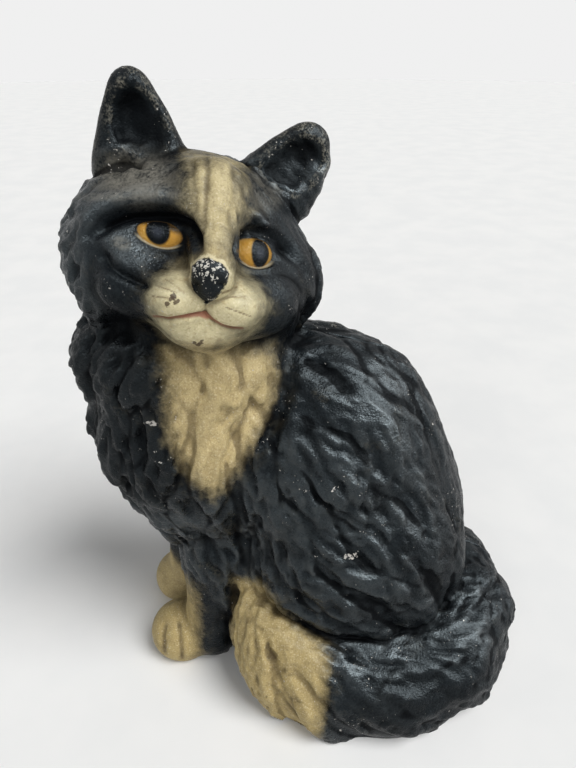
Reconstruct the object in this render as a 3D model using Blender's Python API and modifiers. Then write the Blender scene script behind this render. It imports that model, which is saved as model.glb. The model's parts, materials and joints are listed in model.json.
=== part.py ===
"""Hollow cast iron cat doorstop: two half castings that meet on a flat parting plane, and one long screw.

Frame: metres, +Z up. The cat sits in profile with its chest towards -X and turns its face to the -Y side.
While it is modelled the parting plane is the XZ plane and the ground is Z = 0. At the end the whole figure
moves so that its origin is the middle of its outline on the ground.
"""

import math

import bmesh
import bpy
from mathutils import Euler, Matrix, Vector
from mathutils.bvhtree import BVHTree

# Casting
WALL = 0.0042
PARTING_GAP = 0.0003
FIT_GAP = 0.0003
VOXEL = 0.0016
SKIN_VOXEL = 0.0012
CORE_VOXEL = 0.0032
BODY_SMOOTH_STEPS = 26
FIGURE_SMOOTH_STEPS = 5
SKIN_SMOOTH_STEPS = 1
CORE_SMOOTH_STEPS = 4
FIRST_KEEP = 0.4
SKIN_KEEP = 0.064
CORE_KEEP = 0.09
REACH = 0.30
LEAST_RADIUS = 0.001
BALL_SEGMENTS = (28, 18)
LOCK_SEGMENTS = (12, 8)
ROUND_SEGMENTS = 24
SHARP_ANGLE = math.radians(40.0)

# Head, in its own upright frame: +X to the cheek nearer the tail, -Y out of the face
HEAD_PLACE = Vector((-0.0293, -0.0034, 0.1663))
HEAD_YAW = math.radians(15.0)
HEAD_TILT = math.radians(13.0)
EARS = (
    (
        ((-0.0168, 0.002, 0.0220), (0.0135, 0.0070, 0.0110)),
        ((-0.0196, 0.002, 0.0320), (0.0094, 0.0052, 0.0085)),
        ((-0.0224, 0.002, 0.0413), (0.0052, 0.0040, 0.0052)),
    ),
    (
        ((0.0210, 0.002, 0.0210), (0.0136, 0.0070, 0.0110)),
        ((0.0260, 0.002, 0.0295), (0.0104, 0.0052, 0.0090)),
        ((0.0296, 0.002, 0.0375), (0.0062, 0.0040, 0.0056)),
    ),
)
EYE_SPACING = 0.0125
EYE_RADIUS = 0.0062

# The coat's flow: a place on the coat, the way the hair lies there, and a lock's half length, half width and
# thickness
COAT_FLOW = (
    ((-0.066, -0.006, 0.140), (-0.6, 0.0, -1.0), (0.0100, 0.0054, 0.0046)),
    ((-0.052, -0.028, 0.138), (-0.5, 0.0, -1.0), (0.0100, 0.0052, 0.0046)),
    ((-0.066, -0.008, 0.110), (-0.35, 0.0, -1.0), (0.0120, 0.0052, 0.0046)),
    ((-0.050, -0.030, 0.110), (0.15, 0.0, -1.0), (0.0120, 0.0050, 0.0044)),
    ((-0.056, -0.010, 0.078), (0.5, 0.0, -1.0), (0.0140, 0.0046, 0.0038)),
    ((-0.038, -0.026, 0.072), (0.5, 0.0, -1.0), (0.0140, 0.0044, 0.0036)),
    ((-0.026, -0.034, 0.130), (0.1, 0.0, -1.0), (0.0130, 0.0036, 0.0040)),
    ((-0.014, -0.034, 0.124), (-0.35, 0.0, -1.0), (0.0130, 0.0036, 0.0040)),
    ((-0.022, -0.034, 0.100), (0.0, 0.0, -1.0), (0.0130, 0.0036, 0.0040)),
    ((-0.004, -0.035, 0.096), (0.25, 0.0, -1.0), (0.0120, 0.0048, 0.0040)),
    ((-0.008, -0.032, 0.066), (0.3, 0.0, -1.0), (0.0120, 0.0048, 0.0038)),
    ((0.008, -0.030, 0.128), (0.7, 0.0, -0.8), (0.0120, 0.0054, 0.0030)),
    ((0.016, -0.036, 0.108), (0.65, 0.0, -0.9), (0.0120, 0.0054, 0.0046)),
    ((0.036, -0.030, 0.108), (0.55, 0.1, -1.0), (0.0130, 0.0054, 0.0042)),
    ((0.052, -0.012, 0.100), (0.3, 0.1, -1.0), (0.0150, 0.0048, 0.0032)),
    ((0.018, -0.042, 0.084), (0.85, 0.0, -0.55), (0.0120, 0.0056, 0.0050)),
    ((0.018, -0.043, 0.064), (0.85, 0.0, -0.6), (0.0120, 0.0054, 0.0046)),
    ((0.042, -0.038, 0.072), (0.5, 0.1, -1.0), (0.0140, 0.0050, 0.0038)),
    ((0.062, -0.012, 0.070), (0.1, 0.1, -1.0), (0.0160, 0.0046, 0.0032)),
    ((0.014, -0.040, 0.046), (0.9, 0.0, -0.3), (0.0130, 0.0052, 0.0040)),
    ((0.046, -0.036, 0.046), (0.5, 0.3, -0.8), (0.0140, 0.0050, 0.0038)),
    ((-0.050, 0.028, 0.120), (-0.3, 0.0, -1.0), (0.0120, 0.0054, 0.0042)),
    ((-0.010, 0.034, 0.110), (0.5, 0.0, -1.0), (0.0120, 0.0054, 0.0042)),
    ((0.025, 0.036, 0.105), (0.7, 0.0, -0.8), (0.0120, 0.0054, 0.0042)),
    ((0.050, 0.026, 0.080), (0.3, 0.0, -1.0), (0.0140, 0.0052, 0.0038)),
    ((0.010, 0.040, 0.060), (0.7, 0.0, -0.7), (0.0130, 0.0054, 0.0040)),
    ((0.040, 0.036, 0.030), (0.6, 0.0, -0.7), (0.0130, 0.0054, 0.0038)),
    ((-0.014, -0.036, 0.026), (0.3, -0.1, -1.0), (0.0170, 0.0038, 0.0034)),
    ((0.004, -0.050, 0.020), (0.45, -0.2, -1.0), (0.0170, 0.0040, 0.0034)),
    ((0.026, -0.058, 0.018), (0.9, 0.0, -0.65), (0.0160, 0.0046, 0.0038)),
    ((0.048, -0.054, 0.018), (1.0, 0.3, -0.5), (0.0160, 0.0048, 0.0038)),
    ((0.076, -0.034, 0.018), (0.75, 0.7, -0.4), (0.0160, 0.0048, 0.0038)),
    ((0.090, -0.006, 0.020), (0.2, 1.0, -0.5), (0.0160, 0.0048, 0.0036)),
    ((0.072, 0.024, 0.018), (-0.5, 0.8, -0.5), (0.0150, 0.0048, 0.0036)),
)
FLOW_REACH = 0.014

# The coat's main locks: rows up the body, staggered round its leaning middle line, and rings along the tail
COAT_INSET = 0.0018
BODY_ROWS = (0.030, 0.152, 0.0135)
BODY_MIDDLE = ((0.0, 0.022), (0.060, 0.016), (0.100, -0.006), (0.150, -0.032))
ROUND_BODY = 18
TAIL_RING_STEP = 0.015
TAIL_RING_ANGLES = (0.0, 32.0, 66.0, 102.0)
TAIL_FIRST_ROW = 41
LOCK_STEPS = 5
LOCK_SPREAD = 0.75
LOCK_SWAY = 16.0
LOCK_CURL = 24.0
LOCK_GROWTH = 0.16
LOCK_ROOT_DEPTH = 0.80
LOCK_TIP_DEPTH = 0.15
TAIL_STATIONS = (
    ((0.0660, 0.0060, 0.018), (0.0220, 0.0200, 0.026)),
    ((0.0695, -0.0140, 0.018), (0.0215, 0.0200, 0.026)),
    ((0.0590, -0.0310, 0.015), (0.0215, 0.0210, 0.024)),
    ((0.0380, -0.0400, 0.012), (0.0220, 0.0205, 0.022)),
    ((0.0160, -0.0390, 0.013), (0.0200, 0.0200, 0.023)),
    ((-0.0015, -0.0335, 0.018), (0.0165, 0.0185, 0.026)),
    ((-0.0115, -0.0245, 0.023), (0.0110, 0.0130, 0.023)),
)

# Creases: the points that the ruff's edge, the two brows and the fold over the far cheek pass through
CREASE_RADIUS = 0.0017
RUFF_EDGE = (
    (0.0074, -0.0066, 0.1502),
    (0.0016, -0.0134, 0.1401),
    (-0.0009, -0.0250, 0.1271),
    (-0.0103, -0.0315, 0.1093),
)
FAR_BROW = (
    (-0.0502, -0.0276, 0.1799),
    (-0.0432, -0.0262, 0.1844),
    (-0.0343, -0.0264, 0.1853),
    (-0.0256, -0.0302, 0.1835),
)
NEAR_BROW = (
    (-0.0117, -0.0252, 0.1772),
    (-0.0053, -0.0187, 0.1768),
    (0.0018, -0.0141, 0.1691),
)
CHEEK_FOLD = (
    (-0.0478, -0.0305, 0.1757),
    (-0.0418, -0.0371, 0.1718),
    (-0.0351, -0.0401, 0.1694),
)

# The mouth through which the sand core leaves the underside
CORE_MOUTH_PLACE = (0.0380, -0.0120, 0.0050)
CORE_MOUTH_RADII = (0.0420, 0.0360, 0.0300)

# Screw and its pillar, along Y
SCREW_X = 0.016
SCREW_Z = 0.078
SHANK_RADIUS = 0.0024
SCREW_HEAD_RADIUS = 0.0048
SCREW_HEAD_HEIGHT = 0.0030
SLOT_WIDTH = 0.0013
SLOT_DEPTH = 0.0014
SCREW_SEAT_Y = 0.0290
SCREW_TIP_Y = -0.0150
PILLAR_RADIUS = 0.0080

# Locating pins and the lugs that carry them, along Y
PIN_RADIUS = 0.0028
PIN_LENGTH = 0.0035
LUG_RADIUS = 0.0065
LUG_DEPTH = 0.0120
LUG_PLACES = ((-0.0610, 0.1020), (0.0480, 0.0980))

IRON_PAINT = (0.022, 0.022, 0.025, 1.0)
SCREW_STEEL = (0.36, 0.35, 0.33, 1.0)


def clear_scene():
    for old in list(bpy.data.objects):
        bpy.data.objects.remove(old, do_unlink=True)


def new_collection(name):
    made = bpy.data.collections.new(name)
    bpy.context.scene.collection.children.link(made)
    return made


def add_object(name, mesh, home):
    made = bpy.data.objects.new(name, mesh)
    home.objects.link(made)
    if home is cutters:
        made.hide_render = True
        made.display_type = "WIRE"
    return made


def bake(source, name, home):
    """The evaluated mesh of an object, as a new object; the source is removed."""
    bpy.context.view_layer.update()
    evaluated = source.evaluated_get(bpy.context.evaluated_depsgraph_get())
    mesh = bpy.data.meshes.new_from_object(evaluated)
    mesh.transform(source.matrix_world)
    bpy.data.objects.remove(source, do_unlink=True)
    return add_object(name, mesh, home)


def place(centre, turn=(0.0, 0.0, 0.0)):
    """Placement matrix from a centre and turns about X, Y and Z in degrees."""
    angles = [math.radians(angle) for angle in turn]
    return Matrix.Translation(centre) @ Euler(angles).to_matrix().to_4x4()


def head_frame():
    """Placement of the head's own frame."""
    turned = Matrix.Rotation(HEAD_YAW, 4, "Z") @ Matrix.Rotation(HEAD_TILT, 4, "Y")
    return Matrix.Translation(HEAD_PLACE) @ turned


def unit_ball(segments):
    """A ball of radius one with the given numbers of segments around and up."""
    around, up = segments
    bm = bmesh.new()
    bmesh.ops.create_uvsphere(bm, u_segments=around, v_segments=up, radius=1.0)
    mesh = bpy.data.meshes.new("unit ball")
    bm.to_mesh(mesh)
    bm.free()
    return mesh


class Form:
    """Overlapping closed shapes that one voxel skin will fuse, each drawn in by the same inset."""

    def __init__(self, inset=0.0):
        self.bm = bmesh.new()
        self.inset = inset
        self.units = {}

    def ball(self, centre, radii, turn=(0.0, 0.0, 0.0), frame=Matrix(), segments=BALL_SEGMENTS):
        """An ellipsoid."""
        drawn = [max(radius - self.inset, LEAST_RADIUS) for radius in radii]
        matrix = frame @ place(centre, turn) @ Matrix.Diagonal((*drawn, 1.0))
        if segments not in self.units:
            self.units[segments] = unit_ball(segments)
        placed = self.units[segments].copy()
        placed.transform(matrix)
        self.bm.from_mesh(placed)
        bpy.data.meshes.remove(placed)

    def pair(self, centre, radii, turn=(0.0, 0.0, 0.0), frame=Matrix()):
        """The same ellipsoid on both sides of the frame's YZ plane."""
        self.ball(centre, radii, turn, frame)
        mirrored = (-centre[0], centre[1], centre[2])
        self.ball(mirrored, radii, (turn[0], -turn[1], -turn[2]), frame)

    def strand(self, stations, frame=Matrix(), steps=5):
        """A row of ellipsoids from station to station; a station is (centre, radii)."""
        for (start, start_radii), (end, end_radii) in zip(stations, stations[1:]):
            for step in range(steps + 1):
                share = step / steps
                centre = Vector(start).lerp(Vector(end), share)
                radii = Vector(start_radii).lerp(Vector(end_radii), share)
                self.ball(centre, radii, frame=frame)

    def drum(self, x, z, radius, near_y, far_y):
        """A round bar along Y."""
        turn = Matrix.Rotation(math.radians(90.0), 4, "X")
        matrix = Matrix.Translation((x, 0.5 * (near_y + far_y), z)) @ turn
        depth = far_y - near_y
        bmesh.ops.create_cone(
            self.bm,
            cap_ends=True,
            segments=ROUND_SEGMENTS,
            radius1=radius,
            radius2=radius,
            depth=depth,
            matrix=matrix,
        )

    def block(self, low, high):
        """A box between two corners."""
        size = Vector(high) - Vector(low)
        matrix = Matrix.Translation((Vector(low) + Vector(high)) / 2.0) @ Matrix.Diagonal((*size, 1.0))
        bmesh.ops.create_cube(self.bm, size=1.0, matrix=matrix)

    def finish(self, name, home):
        mesh = bpy.data.meshes.new(name)
        self.bm.to_mesh(mesh)
        self.bm.free()
        return add_object(name, mesh, home)


def boolean(target, tool, operation):
    step = target.modifiers.new(tool.name, "BOOLEAN")
    step.operation = operation
    step.solver = "EXACT"
    step.object = tool
    return step


def remesh(target, voxel):
    step = target.modifiers.new("skin", "REMESH")
    step.mode = "VOXEL"
    step.voxel_size = voxel
    return step


def smooth(target, steps):
    step = target.modifiers.new("smooth", "SMOOTH")
    step.factor = 0.5
    step.iterations = steps
    return step


def decimate(target, ratio):
    step = target.modifiers.new("fewer faces", "DECIMATE")
    step.ratio = ratio
    return step


def add_trunk(form):
    """Chest with its ruff, shoulders, back and haunches."""
    form.ball((-0.0320, -0.002, 0.106), (0.0370, 0.034, 0.038), (0.0, 8.0, 0.0))
    form.ball((-0.0300, -0.002, 0.083), (0.0290, 0.027, 0.032), (0.0, 25.0, 0.0))
    form.ball((-0.0330, -0.003, 0.134), (0.0375, 0.032, 0.024))
    form.ball((0.0080, 0.0, 0.090), (0.0430, 0.035, 0.052), (0.0, -22.0, 0.0))
    form.ball((0.0180, 0.0, 0.098), (0.0350, 0.032, 0.0395))
    form.ball((0.0240, 0.001, 0.066), (0.0440, 0.040, 0.056), (0.0, -16.0, 0.0))
    form.ball((0.0300, 0.0, 0.030), (0.0410, 0.038, 0.045))
    form.ball((-0.0030, 0.0, 0.048), (0.0340, 0.030, 0.034))
    form.ball((0.0260, -0.021, 0.054), (0.0390, 0.024, 0.034), (0.0, -20.0, 0.0))
    form.ball((0.0240, 0.020, 0.046), (0.0400, 0.023, 0.040), (0.0, -20.0, 0.0))


def add_tail(form):
    """The tail lies on the ground from behind the haunch, round the near side, to the front feet."""
    form.strand(TAIL_STATIONS)


def add_forelegs(form):
    """Two short straight front legs and their paws, and the far hind foot."""
    form.strand(
        (
            ((-0.0270, -0.0130, 0.055), (0.0130, 0.0130, 0.018)),
            ((-0.0285, -0.0150, 0.034), (0.0100, 0.0110, 0.014)),
            ((-0.0310, -0.0155, 0.012), (0.0110, 0.0115, 0.012)),
        )
    )
    form.strand(
        (
            ((-0.0340, 0.0130, 0.055), (0.0130, 0.0130, 0.018)),
            ((-0.0400, 0.0145, 0.032), (0.0105, 0.0110, 0.014)),
            ((-0.0425, 0.0150, 0.012), (0.0110, 0.0115, 0.012)),
        )
    )
    form.ball((-0.0435, -0.0155, 0.0095), (0.0130, 0.0120, 0.0130))
    form.ball((-0.0490, 0.0150, 0.0085), (0.0115, 0.0120, 0.0110))
    form.ball((-0.0020, 0.0260, 0.0060), (0.0300, 0.0110, 0.0110))


def jitter(row, place, kind):
    """A repeatable number from -1 to 1 for a lock: an enlarged sine of its numbers, wrapped round."""
    value = math.sin(12.9898 * row + 78.233 * place + 37.719 * kind) * 43758.5453
    return 2.0 * (value - math.floor(value)) - 1.0


def middle_of_body(up):
    """The X of the body's leaning middle line at a height."""
    for (low, start), (high, end) in zip(BODY_MIDDLE, BODY_MIDDLE[1:]):
        if up <= high:
            break
    return start + (end - start) * min((up - low) / (high - low), 1.0)


def lock_rays():
    """Lines out of the body and the tail, one for each main lock: start, direction, and two numbers."""
    rays = []
    low, high, step = BODY_ROWS
    for row in range(int((high - low) / step) + 1):
        up = low + row * step
        for place_round in range(ROUND_BODY):
            shift = 0.5 * (row % 2) + 0.22 * jitter(row, place_round, 0)
            turn = 2.0 * math.pi * (place_round + shift) / ROUND_BODY
            start = Vector((middle_of_body(up), 0.0, up + 0.0026 * jitter(row, place_round, 1)))
            rays.append((start, Vector((math.sin(turn), -math.cos(turn), 0.0)), row, place_round))
    row = TAIL_FIRST_ROW
    for (start, _), (end, _) in zip(TAIL_STATIONS, TAIL_STATIONS[1:]):
        path = Vector(end) - Vector(start)
        outward = Vector((-path.y, path.x, 0.0)).normalized()
        count = max(round(path.length / TAIL_RING_STEP), 1)
        for ring in range(count):
            centre = Vector(start) + path * (ring / count)
            for place_round, angle in enumerate(TAIL_RING_ANGLES):
                turn = math.radians(angle + 9.0 * jitter(row, place_round, 0) + 14.0 * (row % 2))
                way = outward * math.cos(turn) + Vector((0.0, 0.0, math.sin(turn)))
                rays.append((centre, way, row, place_round))
            row += 1
    return rays


def comb(point, normal):
    """How the coat lies at a point: its direction along the surface, and a lock's three sizes there."""
    along = Vector()
    size = Vector()
    total = 0.0
    for guide, direction, guide_size in COAT_FLOW:
        away = (point - Vector(guide)).length
        weight = math.exp(-((away / FLOW_REACH) ** 2)) + 1e-15 / (1e-6 + away**2)
        along += weight * Vector(direction).normalized()
        size += weight * Vector(guide_size)
        total += weight
    along -= normal * along.dot(normal)
    return along.normalized(), size / total


def bare(point):
    """Whether no main lock belongs at a point: the face, the head's top and the feet."""
    face = point.y < 0.004 and (point - Vector((-0.024, point.y, 0.172))).length < 0.027
    feet = point.x < -0.022 and point.z < 0.046
    return face or feet or not 0.007 < point.z < 0.186


def add_locks(form, body):
    """The coat's main locks, each a row of flattened balls that narrows and rises to its tip.

    A lock is centred where its line leaves the bare body. It follows the coat's flow over the surface, turned by
    its own sway and by a curl that grows from root to tip.
    """
    tree = BVHTree.FromPolygons(
        [vertex.co for vertex in body.data.vertices], [face.vertices for face in body.data.polygons]
    )
    for start, way, row, place_round in lock_rays():
        point, normal, _, _ = tree.ray_cast(start + way * REACH, -way)
        if point is None or bare(point):
            continue
        along, size = comb(point, normal)
        half_length, half_width, thick = size * (1.0 + LOCK_GROWTH * jitter(row, place_round, 3))
        sway = math.radians(LOCK_SWAY * jitter(row, place_round, 2))
        curl = math.radians(LOCK_CURL * jitter(row, place_round, 4))
        point, normal, _, _ = tree.find_nearest(point - along * LOCK_SPREAD * half_length)
        for step in range(LOCK_STEPS):
            share = step / (LOCK_STEPS - 1)
            along, _ = comb(point, normal)
            along = Matrix.Rotation(sway + curl * (2.0 * share - 1.0), 3, normal) @ along
            width = half_width * (0.85 + 0.60 * share - 1.10 * share**2)
            height = thick * (1.0 - 0.30 * share)
            sunk = height * (LOCK_ROOT_DEPTH + (LOCK_TIP_DEPTH - LOCK_ROOT_DEPTH) * share)
            frame = Matrix((along, normal.cross(along), normal)).transposed().to_4x4()
            frame.translation = point - normal * sunk
            radii = (0.45 * half_length, width, height)
            form.ball((0.0, 0.0, 0.0), radii, frame=frame, segments=LOCK_SEGMENTS)
            stride = 2.0 * LOCK_SPREAD * half_length / (LOCK_STEPS - 1)
            point, normal, _, _ = tree.find_nearest(point + along * stride)


def add_skull(form, head):
    """Skull, cheeks and the fur behind them."""
    form.ball((0.0, 0.000, 0.0080), (0.0320, 0.0270, 0.0225), frame=head)
    form.ball((0.001, -0.006, -0.0020), (0.0320, 0.0260, 0.0200), frame=head)
    form.ball((-0.0205, -0.004, -0.0010), (0.0165, 0.0195, 0.0210), frame=head)
    form.ball((0.0235, -0.004, -0.0040), (0.0170, 0.0190, 0.0190), frame=head)
    form.ball((0.0, 0.006, -0.0180), (0.0290, 0.0240, 0.0200), frame=head)


def add_face(form, head):
    """Brow, bridge, muzzle, nose, chin and eyeballs."""
    form.ball((0.0, -0.0170, 0.0190), (0.0110, 0.0110, 0.0120), (-20.0, 0.0, 0.0), head)
    form.strand(
        (
            ((0.0, -0.0250, 0.0160), (0.0050, 0.0060, 0.0060)),
            ((0.0, -0.0350, 0.0085), (0.0046, 0.0055, 0.0055)),
        ),
        head,
    )
    form.ball((-0.0074, -0.0325, -0.0032), (0.0085, 0.0080, 0.0072), frame=head)
    form.ball((0.0074, -0.0330, -0.0024), (0.0088, 0.0080, 0.0072), frame=head)
    form.ball((0.0015, -0.0290, -0.0115), (0.0105, 0.0080, 0.0075), frame=head)
    form.ball((0.0, -0.0380, 0.0060), (0.0046, 0.0040, 0.0048), frame=head)
    form.ball((-0.0160, -0.0250, -0.0040), (0.0110, 0.0070, 0.0080), frame=head)
    form.ball((0.0160, -0.0250, -0.0050), (0.0110, 0.0070, 0.0090), frame=head)


def add_eyes(form, head):
    form.pair((EYE_SPACING, -0.0245, 0.0110), (EYE_RADIUS, 0.0050, 0.0042), (0.0, 0.0, 12.0), head)


def add_sockets(form, head):
    form.pair((EYE_SPACING, -0.0315, 0.0105), (0.0072, 0.0050, 0.0050), (0.0, 0.0, 15.0), head)


def add_ears(form, head):
    """Two upright pointed ears, each a row of flat ellipsoids that narrows to the tip."""
    for stations in EARS:
        form.strand(stations, head)


def add_ear_scoops(form, head):
    """The hollow of each ear, in its front face and short of the skull."""
    for (base, _), (middle, _), (tip, _) in EARS:
        form.strand(
            (
                ((0.5 * (base[0] + middle[0]), -0.0070, 0.0310), (0.0080, 0.0065, 0.0050)),
                ((0.5 * (middle[0] + tip[0]), -0.0050, 0.0370), (0.0052, 0.0050, 0.0045)),
            ),
            head,
        )


def add_creases(form):
    """Round-bottomed creases at the ruff's edge, the brows and the far cheek."""
    radii = (CREASE_RADIUS, CREASE_RADIUS, CREASE_RADIUS)
    for points in (RUFF_EDGE, FAR_BROW, NEAR_BROW, CHEEK_FOLD):
        form.strand([(point, radii) for point in points], steps=6)


def make_skin():
    """The whole figure's outer surface as one closed mesh that runs on below the ground."""
    head = head_frame()
    form = Form(COAT_INSET)
    add_trunk(form)
    add_tail(form)
    add_skull(form, head)
    body = form.finish("body", cutters)
    remesh(body, VOXEL)
    smooth(body, BODY_SMOOTH_STEPS)
    body = bake(body, "body", cutters)
    form = Form()
    add_forelegs(form)
    add_face(form, head)
    add_ears(form, head)
    form.bm.from_mesh(body.data)
    figure = form.finish("figure", cutters)
    remesh(figure, VOXEL)
    smooth(figure, FIGURE_SMOOTH_STEPS)
    figure = bake(figure, "figure", cutters)
    form = Form()
    add_locks(form, body)
    form.bm.from_mesh(figure.data)
    for used in (body, figure):
        bpy.data.objects.remove(used, do_unlink=True)
    skin = form.finish("skin", cutters)
    remesh(skin, SKIN_VOXEL)
    smooth(skin, SKIN_SMOOTH_STEPS)
    decimate(skin, FIRST_KEEP)
    carver = Form()
    add_sockets(carver, head)
    add_ear_scoops(carver, head)
    add_creases(carver)
    carved = carver.finish("hollows of the face", cutters)
    remesh(carved, SKIN_VOXEL)
    boolean(skin, carved, "DIFFERENCE")
    eyes = Form()
    add_eyes(eyes, head)
    eyes = eyes.finish("eyeballs", cutters)
    boolean(skin, eyes, "UNION")
    remesh(skin, SKIN_VOXEL)
    smooth(skin, SKIN_SMOOTH_STEPS)
    decimate(skin, SKIN_KEEP)
    return bake(skin, "skin", cutters)


def make_core():
    """The sand core: the thick forms drawn in by the wall, with one mouth below for the body and the tail.

    It is pierced where the pillar and the lugs stand.
    """
    head = head_frame()
    form = Form(WALL + COAT_INSET)
    add_trunk(form)
    add_tail(form)
    add_skull(form, head)
    form.ball(CORE_MOUTH_PLACE, CORE_MOUTH_RADII)
    core = form.finish("core", cutters)
    remesh(core, CORE_VOXEL)
    smooth(core, CORE_SMOOTH_STEPS)
    decimate(core, CORE_KEEP)
    core = bake(core, "core", cutters)
    posts = Form()
    posts.drum(SCREW_X, SCREW_Z, PILLAR_RADIUS, -REACH, REACH)
    for x, z in LUG_PLACES:
        posts.drum(x, z, LUG_RADIUS, -LUG_DEPTH, LUG_DEPTH)
    boolean(core, posts.finish("pillar and lugs", cutters), "DIFFERENCE")
    return bake(core, "core", cutters)


def make_half(name, skin, core, side):
    """One half of the hollow figure, on the side of the parting plane that the sign names."""
    half = add_object(name, skin.data.copy(), parts)
    near, far = sorted((side * PARTING_GAP / 2.0, side * REACH))
    room = Form()
    room.block((-REACH, near, 0.0), (REACH, far, REACH))
    boolean(half, room.finish(name + " flask", cutters), "INTERSECT")
    boolean(half, core, "DIFFERENCE")
    return half


def add_pins(half):
    """Cast pins on the rear half."""
    pins = Form()
    for x, z in LUG_PLACES:
        pins.drum(x, z, PIN_RADIUS, -PIN_LENGTH, LUG_DEPTH / 2.0)
    boolean(half, pins.finish("pins", cutters), "UNION")


def cut_sockets(half):
    """Sockets for the pins, and the blind hole that takes the screw."""
    holes = Form()
    for x, z in LUG_PLACES:
        holes.drum(x, z, PIN_RADIUS + FIT_GAP, -PIN_LENGTH - FIT_GAP, REACH)
    holes.drum(SCREW_X, SCREW_Z, SHANK_RADIUS + FIT_GAP, SCREW_TIP_Y - FIT_GAP, REACH)
    boolean(half, holes.finish("sockets", cutters), "DIFFERENCE")


def cut_screw_way(half):
    """The through hole, and the round recess that takes the screw's head."""
    way = Form()
    way.drum(SCREW_X, SCREW_Z, SHANK_RADIUS + FIT_GAP, -REACH, SCREW_SEAT_Y + FIT_GAP)
    recess = Form()
    recess.drum(SCREW_X, SCREW_Z, SCREW_HEAD_RADIUS + 2.0 * FIT_GAP, SCREW_SEAT_Y, REACH)
    boolean(half, way.finish("screw way", cutters), "DIFFERENCE")
    boolean(half, recess.finish("screw recess", cutters), "DIFFERENCE")


def make_screw():
    """A slotted cheese-head screw: a turned profile about its own Z, laid along Y."""
    head_low = FIT_GAP
    head_top = head_low + SCREW_HEAD_HEIGHT
    tip = SCREW_TIP_Y - SCREW_SEAT_Y
    chamfer = 0.0005
    outline = (
        (0.0, head_top),
        (SCREW_HEAD_RADIUS - chamfer, head_top),
        (SCREW_HEAD_RADIUS, head_top - chamfer),
        (SCREW_HEAD_RADIUS, head_low),
        (SHANK_RADIUS, head_low),
        (SHANK_RADIUS, tip + chamfer),
        (SHANK_RADIUS - chamfer, tip),
        (0.0, tip),
    )
    mesh = bpy.data.meshes.new("assembly_screw")
    points = [(radius, 0.0, z) for radius, z in outline]
    edges = [(n, n + 1) for n in range(len(outline) - 1)]
    mesh.from_pydata(points, edges, [])
    screw = add_object("assembly_screw", mesh, parts)
    turn = screw.modifiers.new("turn", "SCREW")
    turn.steps = ROUND_SEGMENTS
    turn.render_steps = ROUND_SEGMENTS
    turn.use_merge_vertices = True
    turn.merge_threshold = 0.0001
    screw.matrix_world = Matrix.Translation((SCREW_X, SCREW_SEAT_Y, SCREW_Z)) @ Matrix.Rotation(
        math.radians(-90.0), 4, "X"
    )
    screw = bake(screw, "assembly_screw", parts)
    slot = Form()
    slot_floor = SCREW_SEAT_Y + head_top - SLOT_DEPTH
    slot.block(
        (SCREW_X - 2.0 * SCREW_HEAD_RADIUS, slot_floor, SCREW_Z - SLOT_WIDTH / 2.0),
        (SCREW_X + 2.0 * SCREW_HEAD_RADIUS, slot_floor + REACH, SCREW_Z + SLOT_WIDTH / 2.0),
    )
    boolean(screw, slot.finish("slot", cutters), "DIFFERENCE")
    return screw


def paint(target, name, colour, roughness, metallic):
    material = bpy.data.materials.new(name)
    material.use_nodes = True
    shader = material.node_tree.nodes["Principled BSDF"]
    shader.inputs["Base Color"].default_value = colour
    shader.inputs["Roughness"].default_value = roughness
    shader.inputs["Metallic"].default_value = metallic
    target.data.materials.clear()
    target.data.materials.append(material)


def shade(target):
    target.data.shade_smooth()
    target.data.set_sharp_from_angle(angle=SHARP_ANGLE)


def stand_on_origin(pieces):
    """Moves the pieces so that the middle of their outline on the ground is the origin."""
    points = [vertex.co for piece in pieces for vertex in piece.data.vertices]
    low = [min(point[axis] for point in points) for axis in range(3)]
    high = [max(point[axis] for point in points) for axis in range(3)]
    middle = Vector(((low[0] + high[0]) / 2.0, (low[1] + high[1]) / 2.0, low[2]))
    for piece in pieces:
        piece.data.transform(Matrix.Translation(-middle))


def build():
    skin = make_skin()
    core = make_core()
    front = make_half("front_half_casting", skin, core, -1.0)
    rear = make_half("rear_half_casting", skin, core, 1.0)
    add_pins(rear)
    cut_sockets(front)
    cut_screw_way(rear)
    front = bake(front, "front_half_casting", parts)
    rear = bake(rear, "rear_half_casting", parts)
    screw = make_screw()
    paint(front, "black enamel on the front half", IRON_PAINT, 0.42, 0.0)
    paint(rear, "black enamel on the rear half", IRON_PAINT, 0.42, 0.0)
    paint(screw, "plain steel", SCREW_STEEL, 0.38, 1.0)
    stand_on_origin((front, rear, screw))
    for piece in (front, rear, screw):
        shade(piece)


clear_scene()
parts = new_collection("cast iron cat doorstop")
cutters = new_collection("cutters")
build()
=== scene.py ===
"""Looks of a hollow cast iron cat doorstop: sculpted skins of its two half castings, painted and worn.

The cat is sculpted with its parting plane at Y = 0, its ground at Z = 0 and its face to -Y, and then moved
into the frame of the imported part. A distance field on a grid carries the figure's forms, surface nets turn
it into a mesh, and each point of that mesh is then pushed along its normal by the relief of the face and the
coat. Lengths in the meshes are metres; tables of places and sizes are in millimetres.
"""

import json
import math

import bmesh
import bpy
import numpy as np
from mathutils import Euler, Matrix, Vector

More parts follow.
